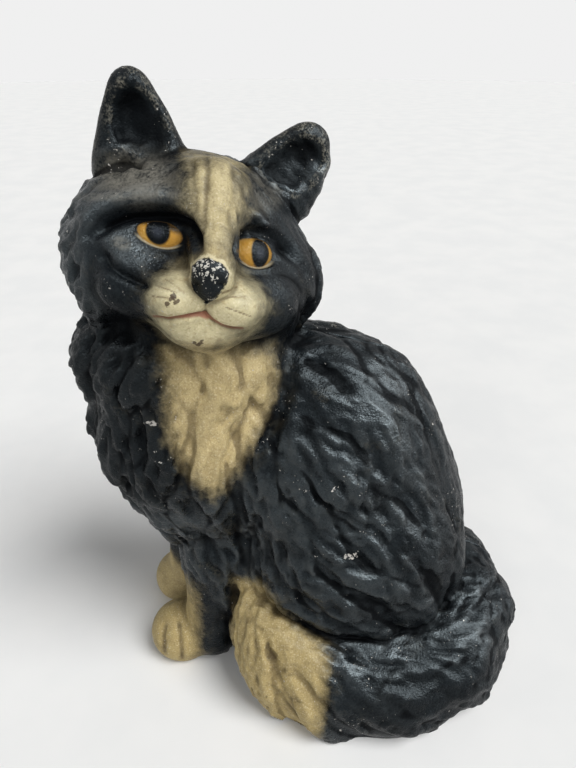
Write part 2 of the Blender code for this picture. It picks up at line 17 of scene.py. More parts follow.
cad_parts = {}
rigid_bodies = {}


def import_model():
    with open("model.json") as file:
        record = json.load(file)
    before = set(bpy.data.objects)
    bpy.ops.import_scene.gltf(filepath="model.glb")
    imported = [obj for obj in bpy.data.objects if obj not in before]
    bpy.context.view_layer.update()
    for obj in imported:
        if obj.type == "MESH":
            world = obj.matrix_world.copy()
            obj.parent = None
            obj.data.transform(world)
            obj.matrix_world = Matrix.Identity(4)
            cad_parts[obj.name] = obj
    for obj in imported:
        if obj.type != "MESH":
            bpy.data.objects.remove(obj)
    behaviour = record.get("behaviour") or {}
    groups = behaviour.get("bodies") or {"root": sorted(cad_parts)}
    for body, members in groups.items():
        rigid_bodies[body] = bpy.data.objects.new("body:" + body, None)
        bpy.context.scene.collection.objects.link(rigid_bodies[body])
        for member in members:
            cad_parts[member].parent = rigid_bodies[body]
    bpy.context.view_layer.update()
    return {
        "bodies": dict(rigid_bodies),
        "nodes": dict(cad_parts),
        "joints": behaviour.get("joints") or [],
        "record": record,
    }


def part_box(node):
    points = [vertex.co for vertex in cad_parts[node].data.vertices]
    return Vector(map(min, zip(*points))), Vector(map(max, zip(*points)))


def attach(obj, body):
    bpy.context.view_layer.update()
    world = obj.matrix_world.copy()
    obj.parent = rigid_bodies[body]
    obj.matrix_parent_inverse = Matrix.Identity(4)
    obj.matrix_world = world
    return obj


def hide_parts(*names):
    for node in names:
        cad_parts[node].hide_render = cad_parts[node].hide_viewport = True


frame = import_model()

MM = 0.001
CORE_INSET = 5.8 * MM
CORE_GRID = 2.2
CORE_RANGES = ((-80.0, 96.0), (-64.0, 48.0), (-12.0, 204.0))
CORE_MOUTH = ((38.0, -12.0, 5.0), (42.0, 36.0, 30.0))
PARTING_GAP = 0.3 * MM
SKIN_GAP = 0.12 * MM
SCREW_X = 16.0 * MM
SCREW_Z = 78.0 * MM
PILLAR_RADIUS = 8.0 * MM
SHANK_RADIUS = 2.7 * MM
SHANK_ENDS = (-16.0 * MM, 60.0 * MM)
RECESS_RADIUS = 5.4 * MM
RECESS_EXTRA = 0.3 * MM
SCREW_SEAT_Y = 29.0 * MM
RECESS_ENDS = (SCREW_SEAT_Y - RECESS_EXTRA, 70.0 * MM)
LUG_RADIUS = 6.5 * MM
LUG_DEPTH = 12.0 * MM
LUG_PLACES = ((-61.0 * MM, 102.0 * MM), (48.0 * MM, 98.0 * MM))
RING_POINTS = 32

# The head's own upright frame
HEAD = (
    Matrix.Translation(Vector((-29.3, -3.4, 166.3)) * MM)
    @ Matrix.Rotation(math.radians(15.0), 4, "Z")
    @ Matrix.Rotation(math.radians(13.0), 4, "Y")
)

# The figure's forms: each ellipsoid's centre and radii, and in the trunk its lean in degrees. The skull, the
# face and the ears are given in the head's frame.
TRUNK = (
    ((-32.0, -2.0, 106.0), (37.0, 34.0, 38.0), 8.0),
    ((-30.0, -2.0, 83.0), (29.0, 27.0, 32.0), 25.0),
    ((-33.0, -3.0, 134.0), (37.5, 32.0, 24.0), 0.0),
    ((8.0, 0.0, 90.0), (43.0, 35.0, 52.0), -22.0),
    ((18.0, 0.0, 98.0), (35.0, 32.0, 39.5), 0.0),
    ((24.0, 1.0, 66.0), (44.0, 40.0, 56.0), -16.0),
    ((30.0, 0.0, 30.0), (41.0, 38.0, 45.0), 0.0),
    ((-3.0, 0.0, 48.0), (34.0, 30.0, 34.0), 0.0),
    ((26.0, -21.0, 54.0), (39.0, 24.0, 34.0), -20.0),
    ((24.0, 20.0, 46.0), (40.0, 23.0, 40.0), -20.0),
)
SKULL = (
    ((0.0, 0.0, 8.0), (32.0, 27.0, 22.5)),
    ((1.0, -6.0, -2.0), (32.0, 26.0, 20.0)),
    ((-20.5, -4.0, -1.0), (16.5, 19.5, 21.0)),
    ((23.5, -4.0, -4.0), (17.0, 19.0, 19.0)),
    ((0.0, 6.0, -18.0), (29.0, 24.0, 20.0)),
)
TAIL_STATIONS = (
    ((66.0, 6.0, 18.0), (22.0, 20.0, 26.0)),
    ((69.5, -14.0, 18.0), (21.5, 20.0, 26.0)),
    ((59.0, -31.0, 15.0), (21.5, 21.0, 24.0)),
    ((38.0, -40.0, 12.0), (22.0, 20.5, 22.0)),
    ((16.0, -39.0, 13.0), (20.0, 20.0, 23.0)),
    ((-1.5, -33.5, 18.0), (16.5, 18.5, 26.0)),
    ((-11.5, -24.5, 23.0), (11.0, 13.0, 23.0)),
)
NEAR_LEG = (
    ((-27.0, -13.0, 55.0), (13.0, 13.0, 18.0)),
    ((-28.5, -15.0, 34.0), (10.0, 11.0, 14.0)),
    ((-31.0, -15.5, 12.0), (11.0, 11.5, 12.0)),
)
FAR_LEG = (
    ((-34.0, 13.0, 55.0), (13.0, 13.0, 18.0)),
    ((-40.0, 14.5, 32.0), (10.5, 11.0, 14.0)),
    ((-42.5, 15.0, 12.0), (11.0, 11.5, 12.0)),
)
PAWS = (
    ((-43.5, -15.5, 9.5), (13.0, 12.0, 13.0)),
    ((-49.0, 15.0, 8.5), (11.5, 12.0, 11.0)),
    ((-2.0, 26.0, 6.0), (30.0, 11.0, 11.0)),
)
FOREHEAD = ((0.0, -17.0, 19.0), (11.0, 11.0, 12.0), (-20.0, 0.0, 0.0))
NOSE_BRIDGE = (((0.0, -25.0, 16.0), (5.0, 6.0, 6.0)), ((0.0, -35.0, 8.5), (4.6, 5.5, 5.5)))

# The muzzle's two pads, the chin, the cheeks and the nose, each with the width of its soft seam
MUZZLE = (
    ((-7.4, -32.5, -3.2), (8.5, 8.0, 7.2), 4.0),
    ((7.4, -33.0, -2.4), (8.8, 8.0, 7.2), 4.0),
    ((1.5, -28.5, -11.0), (11.5, 8.0, 7.5), 6.5),
    ((-16.0, -25.0, -4.0), (11.0, 7.0, 8.0), 5.0),
    ((16.0, -25.0, -5.0), (11.0, 7.0, 9.0), 5.0),
    ((0.0, -38.0, 6.0), (4.6, 4.0, 4.8), 2.0),
)
EARS = (
    (
        ((-16.8, 2.0, 22.0), (13.5, 7.0, 11.0)),
        ((-19.6, 2.0, 32.0), (9.4, 5.2, 8.5)),
        ((-22.4, 2.0, 41.3), (5.2, 4.0, 5.2)),
    ),
    (
        ((21.0, 2.0, 21.0), (13.6, 7.0, 11.0)),
        ((26.0, 2.0, 29.5), (10.4, 5.2, 9.0)),
        ((29.6, 2.0, 37.5), (6.2, 4.0, 5.6)),
    ),
)
TRUNK_INSET = 2.6 * MM
SKULL_INSET = 1.1 * MM
TAIL_INSET = 2.8 * MM

# The coat's flow: a place on the coat, the way the hair lies there, and a lock's half length, half width and
# thickness there
COMB = (
    ((-66.0, -6.0, 140.0), (-0.6, 0.0, -1.0), (10.0, 5.4, 4.0)),
    ((-52.0, -28.0, 138.0), (-0.5, 0.0, -1.0), (10.0, 5.2, 4.0)),
    ((-66.0, -8.0, 110.0), (-0.35, 0.0, -1.0), (12.0, 5.2, 4.2)),
    ((-50.0, -30.0, 110.0), (0.15, 0.0, -1.0), (12.0, 5.0, 3.8)),
    ((-56.0, -10.0, 78.0), (0.5, 0.0, -1.0), (14.0, 4.6, 3.0)),
    ((-38.0, -26.0, 72.0), (0.5, 0.0, -1.0), (14.0, 4.4, 2.8)),
    ((-26.0, -34.0, 130.0), (0.1, 0.0, -1.0), (15.0, 3.4, 2.6)),
    ((-14.0, -34.0, 124.0), (-0.35, 0.0, -1.0), (15.0, 3.4, 2.6)),
    ((-22.0, -34.0, 100.0), (0.0, 0.0, -1.0), (15.0, 3.4, 2.6)),
    ((-4.0, -35.0, 96.0), (0.25, 0.0, -1.0), (12.0, 4.6, 3.0)),
    ((-8.0, -32.0, 66.0), (0.3, 0.0, -1.0), (13.0, 4.6, 2.8)),
    ((8.0, -30.0, 128.0), (0.7, 0.0, -0.8), (12.0, 5.4, 1.6)),
    ((16.0, -36.0, 108.0), (0.65, 0.0, -0.9), (12.0, 5.2, 3.4)),
    ((36.0, -30.0, 108.0), (0.55, 0.1, -1.0), (14.0, 5.0, 2.2)),
    ((52.0, -12.0, 100.0), (0.3, 0.1, -1.0), (15.0, 4.8, 1.2)),
    ((18.0, -42.0, 84.0), (0.85, 0.0, -0.55), (12.0, 5.2, 3.4)),
    ((18.0, -43.0, 64.0), (0.85, 0.0, -0.6), (12.0, 5.2, 3.0)),
    ((42.0, -38.0, 72.0), (0.5, 0.1, -1.0), (15.0, 4.8, 2.0)),
    ((62.0, -12.0, 70.0), (0.1, 0.1, -1.0), (16.0, 4.6, 1.2)),
    ((14.0, -40.0, 46.0), (0.9, 0.0, -0.3), (13.0, 5.2, 2.8)),
    ((46.0, -36.0, 46.0), (0.5, 0.3, -0.8), (15.0, 5.0, 2.2)),
    ((-50.0, 28.0, 120.0), (-0.3, 0.0, -1.0), (12.0, 5.4, 3.2)),
    ((-10.0, 34.0, 110.0), (0.5, 0.0, -1.0), (12.0, 5.4, 3.0)),
    ((25.0, 36.0, 105.0), (0.7, 0.0, -0.8), (12.0, 5.4, 2.6)),
    ((50.0, 26.0, 80.0), (0.3, 0.0, -1.0), (15.0, 5.2, 2.0)),
    ((10.0, 40.0, 60.0), (0.7, 0.0, -0.7), (13.0, 5.4, 2.4)),
    ((40.0, 36.0, 30.0), (0.6, 0.0, -0.7), (13.0, 5.4, 2.4)),
    ((-14.0, -36.0, 26.0), (0.3, -0.1, -1.0), (19.0, 3.6, 2.6)),
    ((4.0, -50.0, 20.0), (0.45, -0.2, -1.0), (22.0, 4.2, 3.0)),
    ((26.0, -58.0, 18.0), (0.9, 0.0, -0.65), (24.0, 5.2, 3.0)),
    ((48.0, -54.0, 18.0), (1.0, 0.3, -0.5), (24.0, 5.4, 2.8)),
    ((76.0, -34.0, 18.0), (0.75, 0.7, -0.4), (24.0, 5.6, 2.0)),
    ((90.0, -6.0, 20.0), (0.2, 1.0, -0.5), (22.0, 5.6, 1.5)),
    ((72.0, 24.0, 18.0), (-0.5, 0.8, -0.5), (22.0, 5.4, 1.8)),
)
COMB_REACH = 14.0

# The main locks: rows up the body at even heights, staggered round its leaning middle line, and rings along
# the tail; sway and curl are in degrees, and less on the tail
BODY_ROWS = (30.0, 152.0, 13.5)
BODY_MIDDLE = ((0.0, 22.0), (60.0, 16.0), (100.0, -6.0), (150.0, -32.0))
ROUND_BODY = 18
TAIL_RING_STEP = 15.0
TAIL_RING_ANGLES = (0.0, 32.0, 66.0, 102.0)
TAIL_FIRST_ROW = 41
LOCK_STEPS = 5
LOCK_SPREAD = 0.75
LOCK_SWAY = 16.0
LOCK_CURL = 24.0
LOCK_GROWTH = 0.16
TAIL_SWAY = 0.35
LOCK_ROOT_DEPTH = 0.80
LOCK_TIP_DEPTH = 0.15
LOCK_BLEND = 1.6
LOCK_HEIGHT = 0.65
FORM_SLOPE_REACH = 3.0 * MM

# The small locks between them: their spacing, their length, width and height against the flow's, and the
# height of the coat's relief that counts as its mean
SMALL_LOCK_SPACING = 4.6 * MM
SMALL_LOCK_SIZES = (1.20, 1.10, 0.76)
SMALL_LOCK_SEED = 11
COAT_LEVEL = 0.85
COAT_MEAN = 0.4
COAT_SOFTENING = 2
HEAD_HAIR = 0.45
EAR_HAIR = 1.1
TAIL_HAIR = 0.42
NOISE_SIDE = 32

# How near the bare form's surface, in millimetres, a point of the net lies on it; deeper ones belong to the
# cut plane and follow the relief less and less
SURFACE_DEPTH = 0.9
RELIEF_DEPTH = 4.0

# Where the photograph was taken from, and the plane on which drawn and painted features have their places
EYE_POINT = Vector((0.0, -181.2, 223.0)) * MM
VIEW_DOWN = math.radians(30.0)
LENS = 28.125
SIGHT_Y = -30.0 * MM

# The studio: the sky's light and its shown strength, and each lamp's name, direction to it, softness in
# degrees and strength, whether it lights surfaces and whether it shines in them
SKY_LIGHT = 0.16
SKY_SHOWN = 0.87
LAMPS = (
    ("key_lamp", (0.48, -0.34, 0.81), 34.0, 2.8, True, True),
    ("fill_lamp", (-0.25, -0.85, 0.45), 50.0, 0.8, True, False),
    ("sheen_lamp", (0.66, -0.10, 0.75), 40.0, 3.4, False, True),
    ("side_lamp", (0.94, -0.10, 0.34), 50.0, 2.1, False, True),
    ("glint_lamp", (-0.45, -0.35, 0.82), 14.0, 0.9, False, True),
)
FLOOR_RADII = (0.25, 0.6, 1.4, 4.0)
FLOOR_POINTS = 64

# Ovals on the sighting plane: place across and up, radii, and turn in degrees
LEFT_EYE = ((-32.9, 179.9), (5.5, 3.3), -17.0)
LEFT_PUPIL = ((-33.0, 180.3), (3.1, 3.4), 0.0)
RIGHT_EYE = ((-8.0, 174.9), (4.5, 3.7), -8.0)
RIGHT_PUPIL = ((-7.2, 174.8), (2.4, 3.9), 0.0)
LEFT_EAR_HOLLOW = ((-35.9, 207.6), (6.6, 9.4), 0.0)
RIGHT_EAR_HOLLOW = ((3.0, 197.0), (6.2, 8.0), -12.0)
FACE_OVAL = ((-23.0, 172.0), (31.0, 34.0), 0.0)
FINE_OVAL = ((-23.0, 172.0), (25.5, 25.5), 0.0)
BARE_PATCHES = (
    ((21.8, 66.6), (3.6, 2.0), 18.0),
    ((-41.1, 122.5), (2.4, 1.2), -20.0),
    ((15.2, 96.9), (1.5, 0.9), 30.0),
    ((-43.6, 126.2), (1.0, 0.7), 0.0),
)
# Lighter grey places, each an oval and a strength: dust on the forehead and beside the right ear, dust with a
# painted highlight along the left brow's ridge, and a painted highlight on the left cheek's bulge
DUST_AND_HIGHLIGHT_PLACES = (
    (((-37.0, 193.6), (11.5, 6.5), 0.0), 1.0),
    (((-37.0, 189.0), (15.0, 1.6), 3.0), 0.8),
    (((-6.0, 190.6), (5.5, 6.0), 0.0), 0.55),
    (((-42.4, 176.8), (2.8, 2.2), -30.0), 0.8),
)

# Lines and outlines on the sighting plane
MOUTH = (
    (-36.7, 157.0), (-32.9, 156.0), (-28.4, 156.8), (-23.9, 157.8), (-22.3, 157.8), (-20.6, 155.7),
    (-18.2, 154.1), (-15.5, 153.3), (-12.6, 153.5),
)
LIP = (
    (-33.4, 155.9), (-28.4, 156.9), (-23.9, 158.0), (-22.3, 158.0), (-20.6, 156.1), (-18.2, 154.5),
    (-16.0, 153.7), (-18.4, 154.1), (-21.4, 156.1), (-24.2, 156.9), (-28.6, 156.2),
)
WHISKERS = (
    ((-32.4, 167.6), (-29.0, 164.6)),
    ((-34.2, 165.4), (-30.2, 163.6)),
    ((-35.8, 162.8), (-31.8, 162.2)),
    ((-17.9, 164.2), (-13.7, 165.4)),
    ((-18.4, 162.4), (-11.6, 162.6)),
    ((-16.6, 159.9), (-10.4, 157.3)),
)
NOSE_OUTLINE = (
    (-24.5, 171.3), (-22.8, 172.9), (-20.4, 173.5), (-17.7, 172.3), (-15.9, 169.3), (-16.8, 166.4),
    (-19.1, 163.8), (-22.2, 160.5), (-23.8, 162.3), (-25.4, 165.1), (-24.9, 168.2),
)
SPOTS = (
    (-30.6, 162.9), (-30.3, 161.3), (-32.4, 160.8), (-31.4, 162.0), (-26.2, 149.6), (-25.2, 148.9),
    (-24.2, 149.9),
)
FACE_CREAM = (
    (-24.8, 199.5), (-24.7, 193.9), (-25.4, 188.4), (-24.1, 183.0), (-23.3, 178.0), (-23.3, 174.6),
    (-26.4, 173.4), (-29.8, 171.6), (-33.6, 169.4), (-37.0, 165.3), (-37.9, 161.8), (-36.9, 157.6),
    (-36.9, 154.6), (-35.0, 151.6), (-32.2, 148.8), (-28.7, 147.0), (-22.1, 146.7), (-15.9, 148.9),
    (-10.3, 152.9), (-6.4, 157.6), (-5.4, 161.8), (-7.4, 165.2), (-11.0, 168.4), (-13.2, 171.3),
    (-14.3, 174.2), (-14.3, 178.0), (-12.1, 182.1), (-10.4, 185.7), (-10.5, 189.7), (-11.3, 194.4),
    (-11.0, 199.5),
)
CHEST_CREAM = (
    (-36.5, 148.3), (-36.6, 142.0), (-35.7, 133.7), (-36.8, 123.2), (-36.0, 112.8), (-32.5, 102.2),
    (-28.6, 95.2), (-25.2, 92.7), (-20.7, 96.9), (-15.9, 104.2), (-10.5, 112.8), (-6.7, 121.4),
    (-3.5, 130.2), (-2.3, 140.3), (-4.5, 148.3),
)
TAIL_CREAM = (
    (-17.2, 56.1), (-22.8, 50.4), (-27.2, 44.1), (-31.5, 30.3), (-31.6, 12.5), (-24.4, -12.0),
    (-14.3, -40.6), (0.9, -52.8), (13.2, -50.4), (15.9, -16.9), (16.6, 9.4), (13.1, 21.6), (4.6, 28.6),
    (-3.0, 38.7), (-7.3, 49.4), (-10.8, 54.5),
)
NEAR_PAW_CREAM = (
    (-38.9, 58.6), (-35.4, 54.5), (-32.4, 46.3), (-32.8, 37.6), (-33.6, 21.6), (-33.0, 8.2),
    (-30.0, -8.0), (-60.0, -12.0), (-62.0, 30.0), (-52.2, 42.6), (-44.9, 46.8),
)

# Balls of cream round the paws, each a place in the sculpture's frame and a radius; and what stands in for a
# place, and for a distance, that the camera doesn't see
PAW_CREAM = (((-50.0, 15.0, 10.0), 21.0), ((-47.0, -15.0, 10.0), 16.0))
NEVER = 500.0
FAR_OUTSIDE = -20.0

# What is drawn on the head and the paws: how far each line or bump stands out (sunk if less than 0), a
# line's width and places, and a bump's place, radii and turn
DRAWN_LINES = (
    # The left brow's ridge and its groove, and the right brow's groove
    (1.7, 2.4, (
        (-52.6, 180.0), (-49.0, 185.4), (-43.2, 188.2), (-37.7, 189.4), (-32.3, 189.6), (-27.8, 188.3),
    )),
    (-3.8, 1.5, (
        (-49.4, 179.6), (-45.4, 182.7), (-42.1, 184.0), (-38.9, 184.9), (-33.5, 185.1), (-29.1, 184.2),
        (-25.6, 182.4), (-24.0, 179.9), (-23.2, 176.0),
    )),
    (-2.2, 1.4, ((-12.6, 175.8), (-11.3, 178.6), (-9.0, 180.6), (-4.9, 180.0), (-1.7, 178.0), (1.6, 174.2))),
    # The lower lids
    (0.6, 0.7, (
        (-38.5, 179.6), (-36.3, 177.2), (-33.6, 176.0), (-30.9, 175.5), (-28.1, 175.7), (-26.4, 175.2),
    )),
    (0.6, 0.7, ((-12.3, 172.2), (-10.2, 170.7), (-7.4, 170.3), (-4.6, 170.7), (-3.4, 171.8))),
    # The fold of the left cheek, and the hollow beside the right one
    (-1.9, 1.4, ((-47.9, 175.6), (-46.8, 171.8), (-43.9, 169.3), (-40.8, 167.4), (-37.6, 165.6))),
    (-1.1, 1.5, ((-3.1, 176.6), (0.6, 174.2), (3.9, 171.3), (5.6, 167.4))),
    # Three grooves down the forehead
    (-0.45, 0.9, ((-22.9, 199.0), (-23.0, 193.1), (-23.0, 187.5), (-22.6, 182.1))),
    (-0.9, 0.9, ((-19.2, 200.0), (-19.5, 194.8), (-20.1, 190.5), (-21.0, 185.3), (-21.7, 180.8))),
    (-0.55, 0.9, ((-13.0, 199.0), (-13.1, 193.1), (-13.4, 188.4), (-14.8, 183.0))),
    # The split under the nose, and the mouth
    (-0.9, 0.6, ((-22.1, 160.8), (-22.4, 157.8))),
    (-1.2, 0.75, MOUTH),
    # The ruff's edge against the shoulder
    (-2.4, 2.2, (
        (6.4, 160.0), (4.2, 152.3), (1.4, 148.3), (0.3, 138.7), (-0.9, 130.2), (-5.5, 117.7), (-10.4, 108.2),
    )),
    # The toes
    (-0.9, 1.0, ((-41.4, 34.0), (-41.2, 26.3), (-41.4, 18.6), (-42.1, 8.0))),
    (-0.9, 1.0, ((-46.2, 32.0), (-48.0, 23.9), (-48.9, 12.0))),
    (-0.9, 1.0, ((-42.2, 59.0), (-43.6, 52.5), (-43.4, 44.0))),
    # The left ear's fold and slit, and the right ear's lower edge
    (0.7, 0.9, (
        (-45.8, 198.0), (-44.5, 199.0), (-41.7, 200.3), (-38.2, 200.8), (-34.9, 199.9), (-32.0, 201.0),
    )),
    (-2.6, 1.0, ((-41.2, 195.8), (-38.0, 197.6), (-34.8, 196.7))),
    (0.6, 0.9, ((-6.0, 194.4), (-4.2, 193.1), (-1.2, 191.4), (1.5, 189.2))),
) + tuple((-0.18, 0.35, line) for line in WHISKERS)
DRAWN_BUMPS = (
    # The right brow's lumps, the left cheek, the nose and its nostrils
    (1.4, (-8.2, 184.4), (1.7, 1.2), -30.0),
    (1.4, (-6.0, 182.0), (1.7, 1.2), -30.0),
    (1.6, (-42.8, 176.2), (6.5, 5.0), -15.0),
    (0.8, (-20.3, 169.6), (3.6, 2.8), 0.0),
    (-0.9, (-23.6, 166.4), (0.9, 0.8), 0.0),
    (-0.9, (-18.2, 166.6), (0.9, 0.8), 0.0),
    # The muzzle's pads, the chin, and the hole under the left ear
    (1.6, (-31.3, 162.3), (5.6, 4.2), 0.0),
    (1.6, (-15.0, 159.9), (6.4, 4.4), -8.0),
    (1.0, (-24.3, 151.2), (9.0, 3.4), -2.0),
    (-0.8, (-39.7, 194.2), (0.6, 0.5), 0.0),
)

# From the sculpture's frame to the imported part's frame
SCREW_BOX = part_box("assembly_screw")
SHIFT = Vector(
    (
        (SCREW_BOX[0].x + SCREW_BOX[1].x) / 2.0 - SCREW_X,
        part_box("front_half_casting")[1].y + PARTING_GAP / 2.0,
        0.0,
    )
)


def cad_place(points):
    return points + np.array(SHIFT)


def step_up(value, low, high):
    """Smooth step from 0 at low to 1 at high."""
    share = np.clip((value - low) / (high - low), 0.0, 1.0)
    return share * share * (3.0 - 2.0 * share)


def soft_least(a, b, width):
    """The lesser of two distances, rounded off where they differ by less than the width."""
    return np.minimum(a, b) - np.maximum(width - np.abs(a - b), 0.0) ** 2 / (4.0 * width)


def ball_distance(p, radii):
    """Signed distance to an ellipsoid round the origin: exact for a sphere, close to it near any surface."""
    scaled = np.sqrt(sum((c / r) ** 2 for c, r in zip(p, radii)))
    steep = np.sqrt(sum((c / r**2) ** 2 for c, r in zip(p, radii)))
    return scaled * (scaled - 1.0) / np.maximum(steep, 1.0)


class Clay:
    """A distance field on a box of grid points with uneven spacing. Inside is negative."""

    def __init__(self, xs, ys, zs):
        self.axes = [np.asarray(axis, np.float32) for axis in (xs, ys, zs)]
        self.field = np.full([len(axis) for axis in self.axes], 0.05, np.float32)

    def spread(self):
        """The grid lines' places, each shaped so that the three combine into the grid."""
        return [axis.reshape(shape) for axis, shape in zip(self.axes, ((-1, 1, 1), (1, -1, 1), (1, 1, -1)))]

    def window(self, centre, reach):
        parts = []
        for axis, middle in zip(self.axes, centre):
            low = int(np.searchsorted(axis, middle - reach))
            high = int(np.searchsorted(axis, middle + reach))
            parts.append(slice(low, high))
        return tuple(parts)

    def local(self, window, matrix):
        """Coordinates of the window's grid points in a placed frame."""
        x, y, z = (axis[part] for axis, part in zip(self.axes, window))
        x, y, z = x[:, None, None], y[None, :, None], z[None, None, :]
        inverse = np.array(matrix.inverted(), np.float32)
        return [row[0] * x + row[1] * y + row[2] * z + row[3] for row in inverse[:3]]

    def ball(self, centre, radii, turn=(0.0, 0.0, 0.0), frame=Matrix(), blend=4.0, inset=0.0, cut=False):
        """Joins or cuts an ellipsoid, placed in the given frame, with a soft seam of the given width."""
        angles = [math.radians(angle) for angle in turn]
        matrix = frame @ Matrix.Translation(Vector(centre) * MM) @ Euler(angles).to_matrix().to_4x4()
        radii = [max(radius * MM - inset, MM) for radius in radii]
        blend = blend * MM
        window = self.window(matrix.translation, max(radii) + blend + 5.0 * MM)
        distance = ball_distance(self.local(window, matrix), radii)
        side = -1.0 if cut else 1.0
        self.field[window] = side * soft_least(side * self.field[window], distance, blend)

    def group(self, balls, within, blend):
        """Joins ellipsoids, each a placement and radii, softly to one another and then, with a seam of its
        own, to the rest."""
        middle = sum((matrix.translation for matrix, _ in balls), Vector()) / len(balls)
        reach = max((matrix.translation - middle).length + max(radii) * MM for matrix, radii in balls)
        window = self.window(middle, reach + 4.0 * MM)
        lock = None
        for matrix, radii in balls:
            distance = ball_distance(self.local(window, matrix), [radius * MM for radius in radii])
            lock = distance if lock is None else soft_least(lock, distance, within * MM)
        self.field[window] = soft_least(self.field[window], lock, blend * MM)

    def strand(self, stations, frame=Matrix(), steps=5, **style):
        """A row of ellipsoids from station to station; a station is (centre, radii)."""
        for (start, start_radii), (end, end_radii) in zip(stations, stations[1:]):
            for step in range(steps + 1):
                share = step / steps
                centre = Vector(start).lerp(Vector(end), share)
                self.ball(centre, Vector(start_radii).lerp(Vector(end_radii), share), frame=frame, **style)

    def sample(self, points):
        """The field at points, by linear interpolation."""
        index = []
        share = []
        for axis, values in zip(self.axes, points.T):
            low = np.clip(np.searchsorted(axis, values) - 1, 0, len(axis) - 2)
            index.append(low)
            share.append(np.clip((values - axis[low]) / (axis[low + 1] - axis[low]), 0.0, 1.0))
        total = np.zeros(len(points))
        for corner in np.ndindex(2, 2, 2):
            weight = np.ones(len(points))
            for axis in range(3):
                weight = weight * (share[axis] if corner[axis] else 1.0 - share[axis])
            total += weight * self.field[tuple(index[axis] + corner[axis] for axis in range(3))]
        return total

    def slope(self, points, reach=1.2 * MM):
        """Unit vectors along which the field rises fastest."""
        rise = np.zeros((len(points), 3))
        for axis, step in enumerate(np.eye(3) * reach):
            rise[:, axis] = self.sample(points + step) - self.sample(points - step)
        return rise / np.maximum(np.linalg.norm(rise, axis=1, keepdims=True), 1e-9)

    def to_surface(self, points):
        """Points moved to the surface along the field's slope."""
        for _ in range(2):
            points = points - self.slope(points, FORM_SLOPE_REACH) * self.sample(points)[:, None]
        return points


def surface_nets(axes, field):
    """Points and quads of the zero surface: one point in each cell that the surface crosses, at the mean of
    its crossings on the cell's edges, and one quad round each grid edge that it crosses."""
    inside = field < 0.0
    shape = np.array(field.shape) - 1
    count = np.zeros(shape, np.int8)
    for corner in np.ndindex(2, 2, 2):
        count += inside[tuple(slice(c, c + n) for c, n in zip(corner, shape))]
    cells = np.argwhere((count > 0) & (count < 8))
    number = np.full(shape, -1, np.int64)
    number[tuple(cells.T)] = np.arange(len(cells))
    total = np.zeros((len(cells), 3))
    hits = np.zeros(len(cells))
    for axis in range(3):
        u, v = [a for a in range(3) if a != axis]
        for offset in np.ndindex(2, 2):
            start = cells.copy()
            start[:, u] += offset[0]
            start[:, v] += offset[1]
            end = start.copy()
            end[:, axis] += 1
            a = field[tuple(start.T)].astype(float)
            b = field[tuple(end.T)].astype(float)
            crossed = (a < 0.0) != (b < 0.0)
            share = np.where(crossed, a / np.where(crossed, a - b, 1.0), 0.0)
            for along in range(3):
                place = axes[along][start[:, along]].astype(float)
                if along == axis:
                    place = place + share * (axes[along][end[:, along]] - place)
                total[:, along] += np.where(crossed, place, 0.0)
            hits += crossed
    quads = []
    for axis in range(3):
        u, v = [a for a in range(3) if a != axis]
        first = [slice(1, n) for n in shape]
        first[axis] = slice(0, shape[axis])
        second = list(first)
        second[axis] = slice(1, shape[axis] + 1)
        falls = inside[tuple(first)]
        base = np.argwhere(falls != inside[tuple(second)])
        falls = falls[tuple(base.T)]
        base[:, u] += 1
        base[:, v] += 1
        ring = []
        for du, dv in ((1, 1), (0, 1), (0, 0), (1, 0)):
            cell = base.copy()
            cell[:, u] -= du
            cell[:, v] -= dv
            ring.append(number[tuple(cell.T)])
        ring = np.stack(ring, axis=1)
        turned_over = falls if axis == 1 else ~falls
        ring[turned_over] = ring[turned_over][:, ::-1]
        quads.append(ring)
    return total / hits[:, None], np.concatenate(quads)


def add_trunk(clay, **style):
    for centre, radii, lean in TRUNK:
        clay.ball(centre, radii, (0.0, lean, 0.0), blend=9.0, **style)


def add_skull(clay, **style):
    for centre, radii in SKULL:
        clay.ball(centre, radii, frame=HEAD, blend=5.0, **style)


def add_tail(clay, **style):
    clay.strand(TAIL_STATIONS, blend=4.0, **style)


def add_forelegs(clay):
    for leg in (NEAR_LEG, FAR_LEG):
        clay.strand(leg, blend=3.0)
    for centre, radii in PAWS:
        clay.ball(centre, radii, blend=3.0)


def add_face(clay):
    clay.ball(*FOREHEAD, HEAD, blend=5.0)
    clay.strand(NOSE_BRIDGE, HEAD, blend=4.0)
    for centre, radii, blend in MUZZLE:
        clay.ball(centre, radii, frame=HEAD, blend=blend)


def add_ears(clay):
    """Two ears, and in the front of each a scoop that runs from below its middle to below its tip."""
    for stations in EARS:
        clay.strand(stations, HEAD, blend=1.5)
    for (base, base_radii), (middle, middle_radii), (tip, _) in EARS:
        low = (0.5 * (base[0] + middle[0]), -7.0, 0.5 * (base[2] + middle[2]) + 4.0)
        high = (0.5 * (middle[0] + tip[0]), -5.0, 0.5 * (middle[2] + tip[2]) + 1.0)
        scoop = ((low, (0.72 * base_radii[0], 7.0, 6.0)), (high, (0.74 * middle_radii[0], 5.6, 5.6)))
        clay.strand(scoop, HEAD, blend=1.2, cut=True)


def stepped(stops):
    """Grid lines from (place, spacing) pairs in millimetres: each spacing holds up to the next place."""
    lines = []
    for (low, spacing), (high, _) in zip(stops, stops[1:]):
        count = max(int(round((high - low) / spacing)), 1)
        lines.extend(np.linspace(low, high, count, endpoint=False))
    lines.append(stops[-1][0])
    return np.array(lines) * MM


def link(name, mesh):
    made = bpy.data.objects.new(name, mesh)
    bpy.context.scene.collection.objects.link(made)
    return made


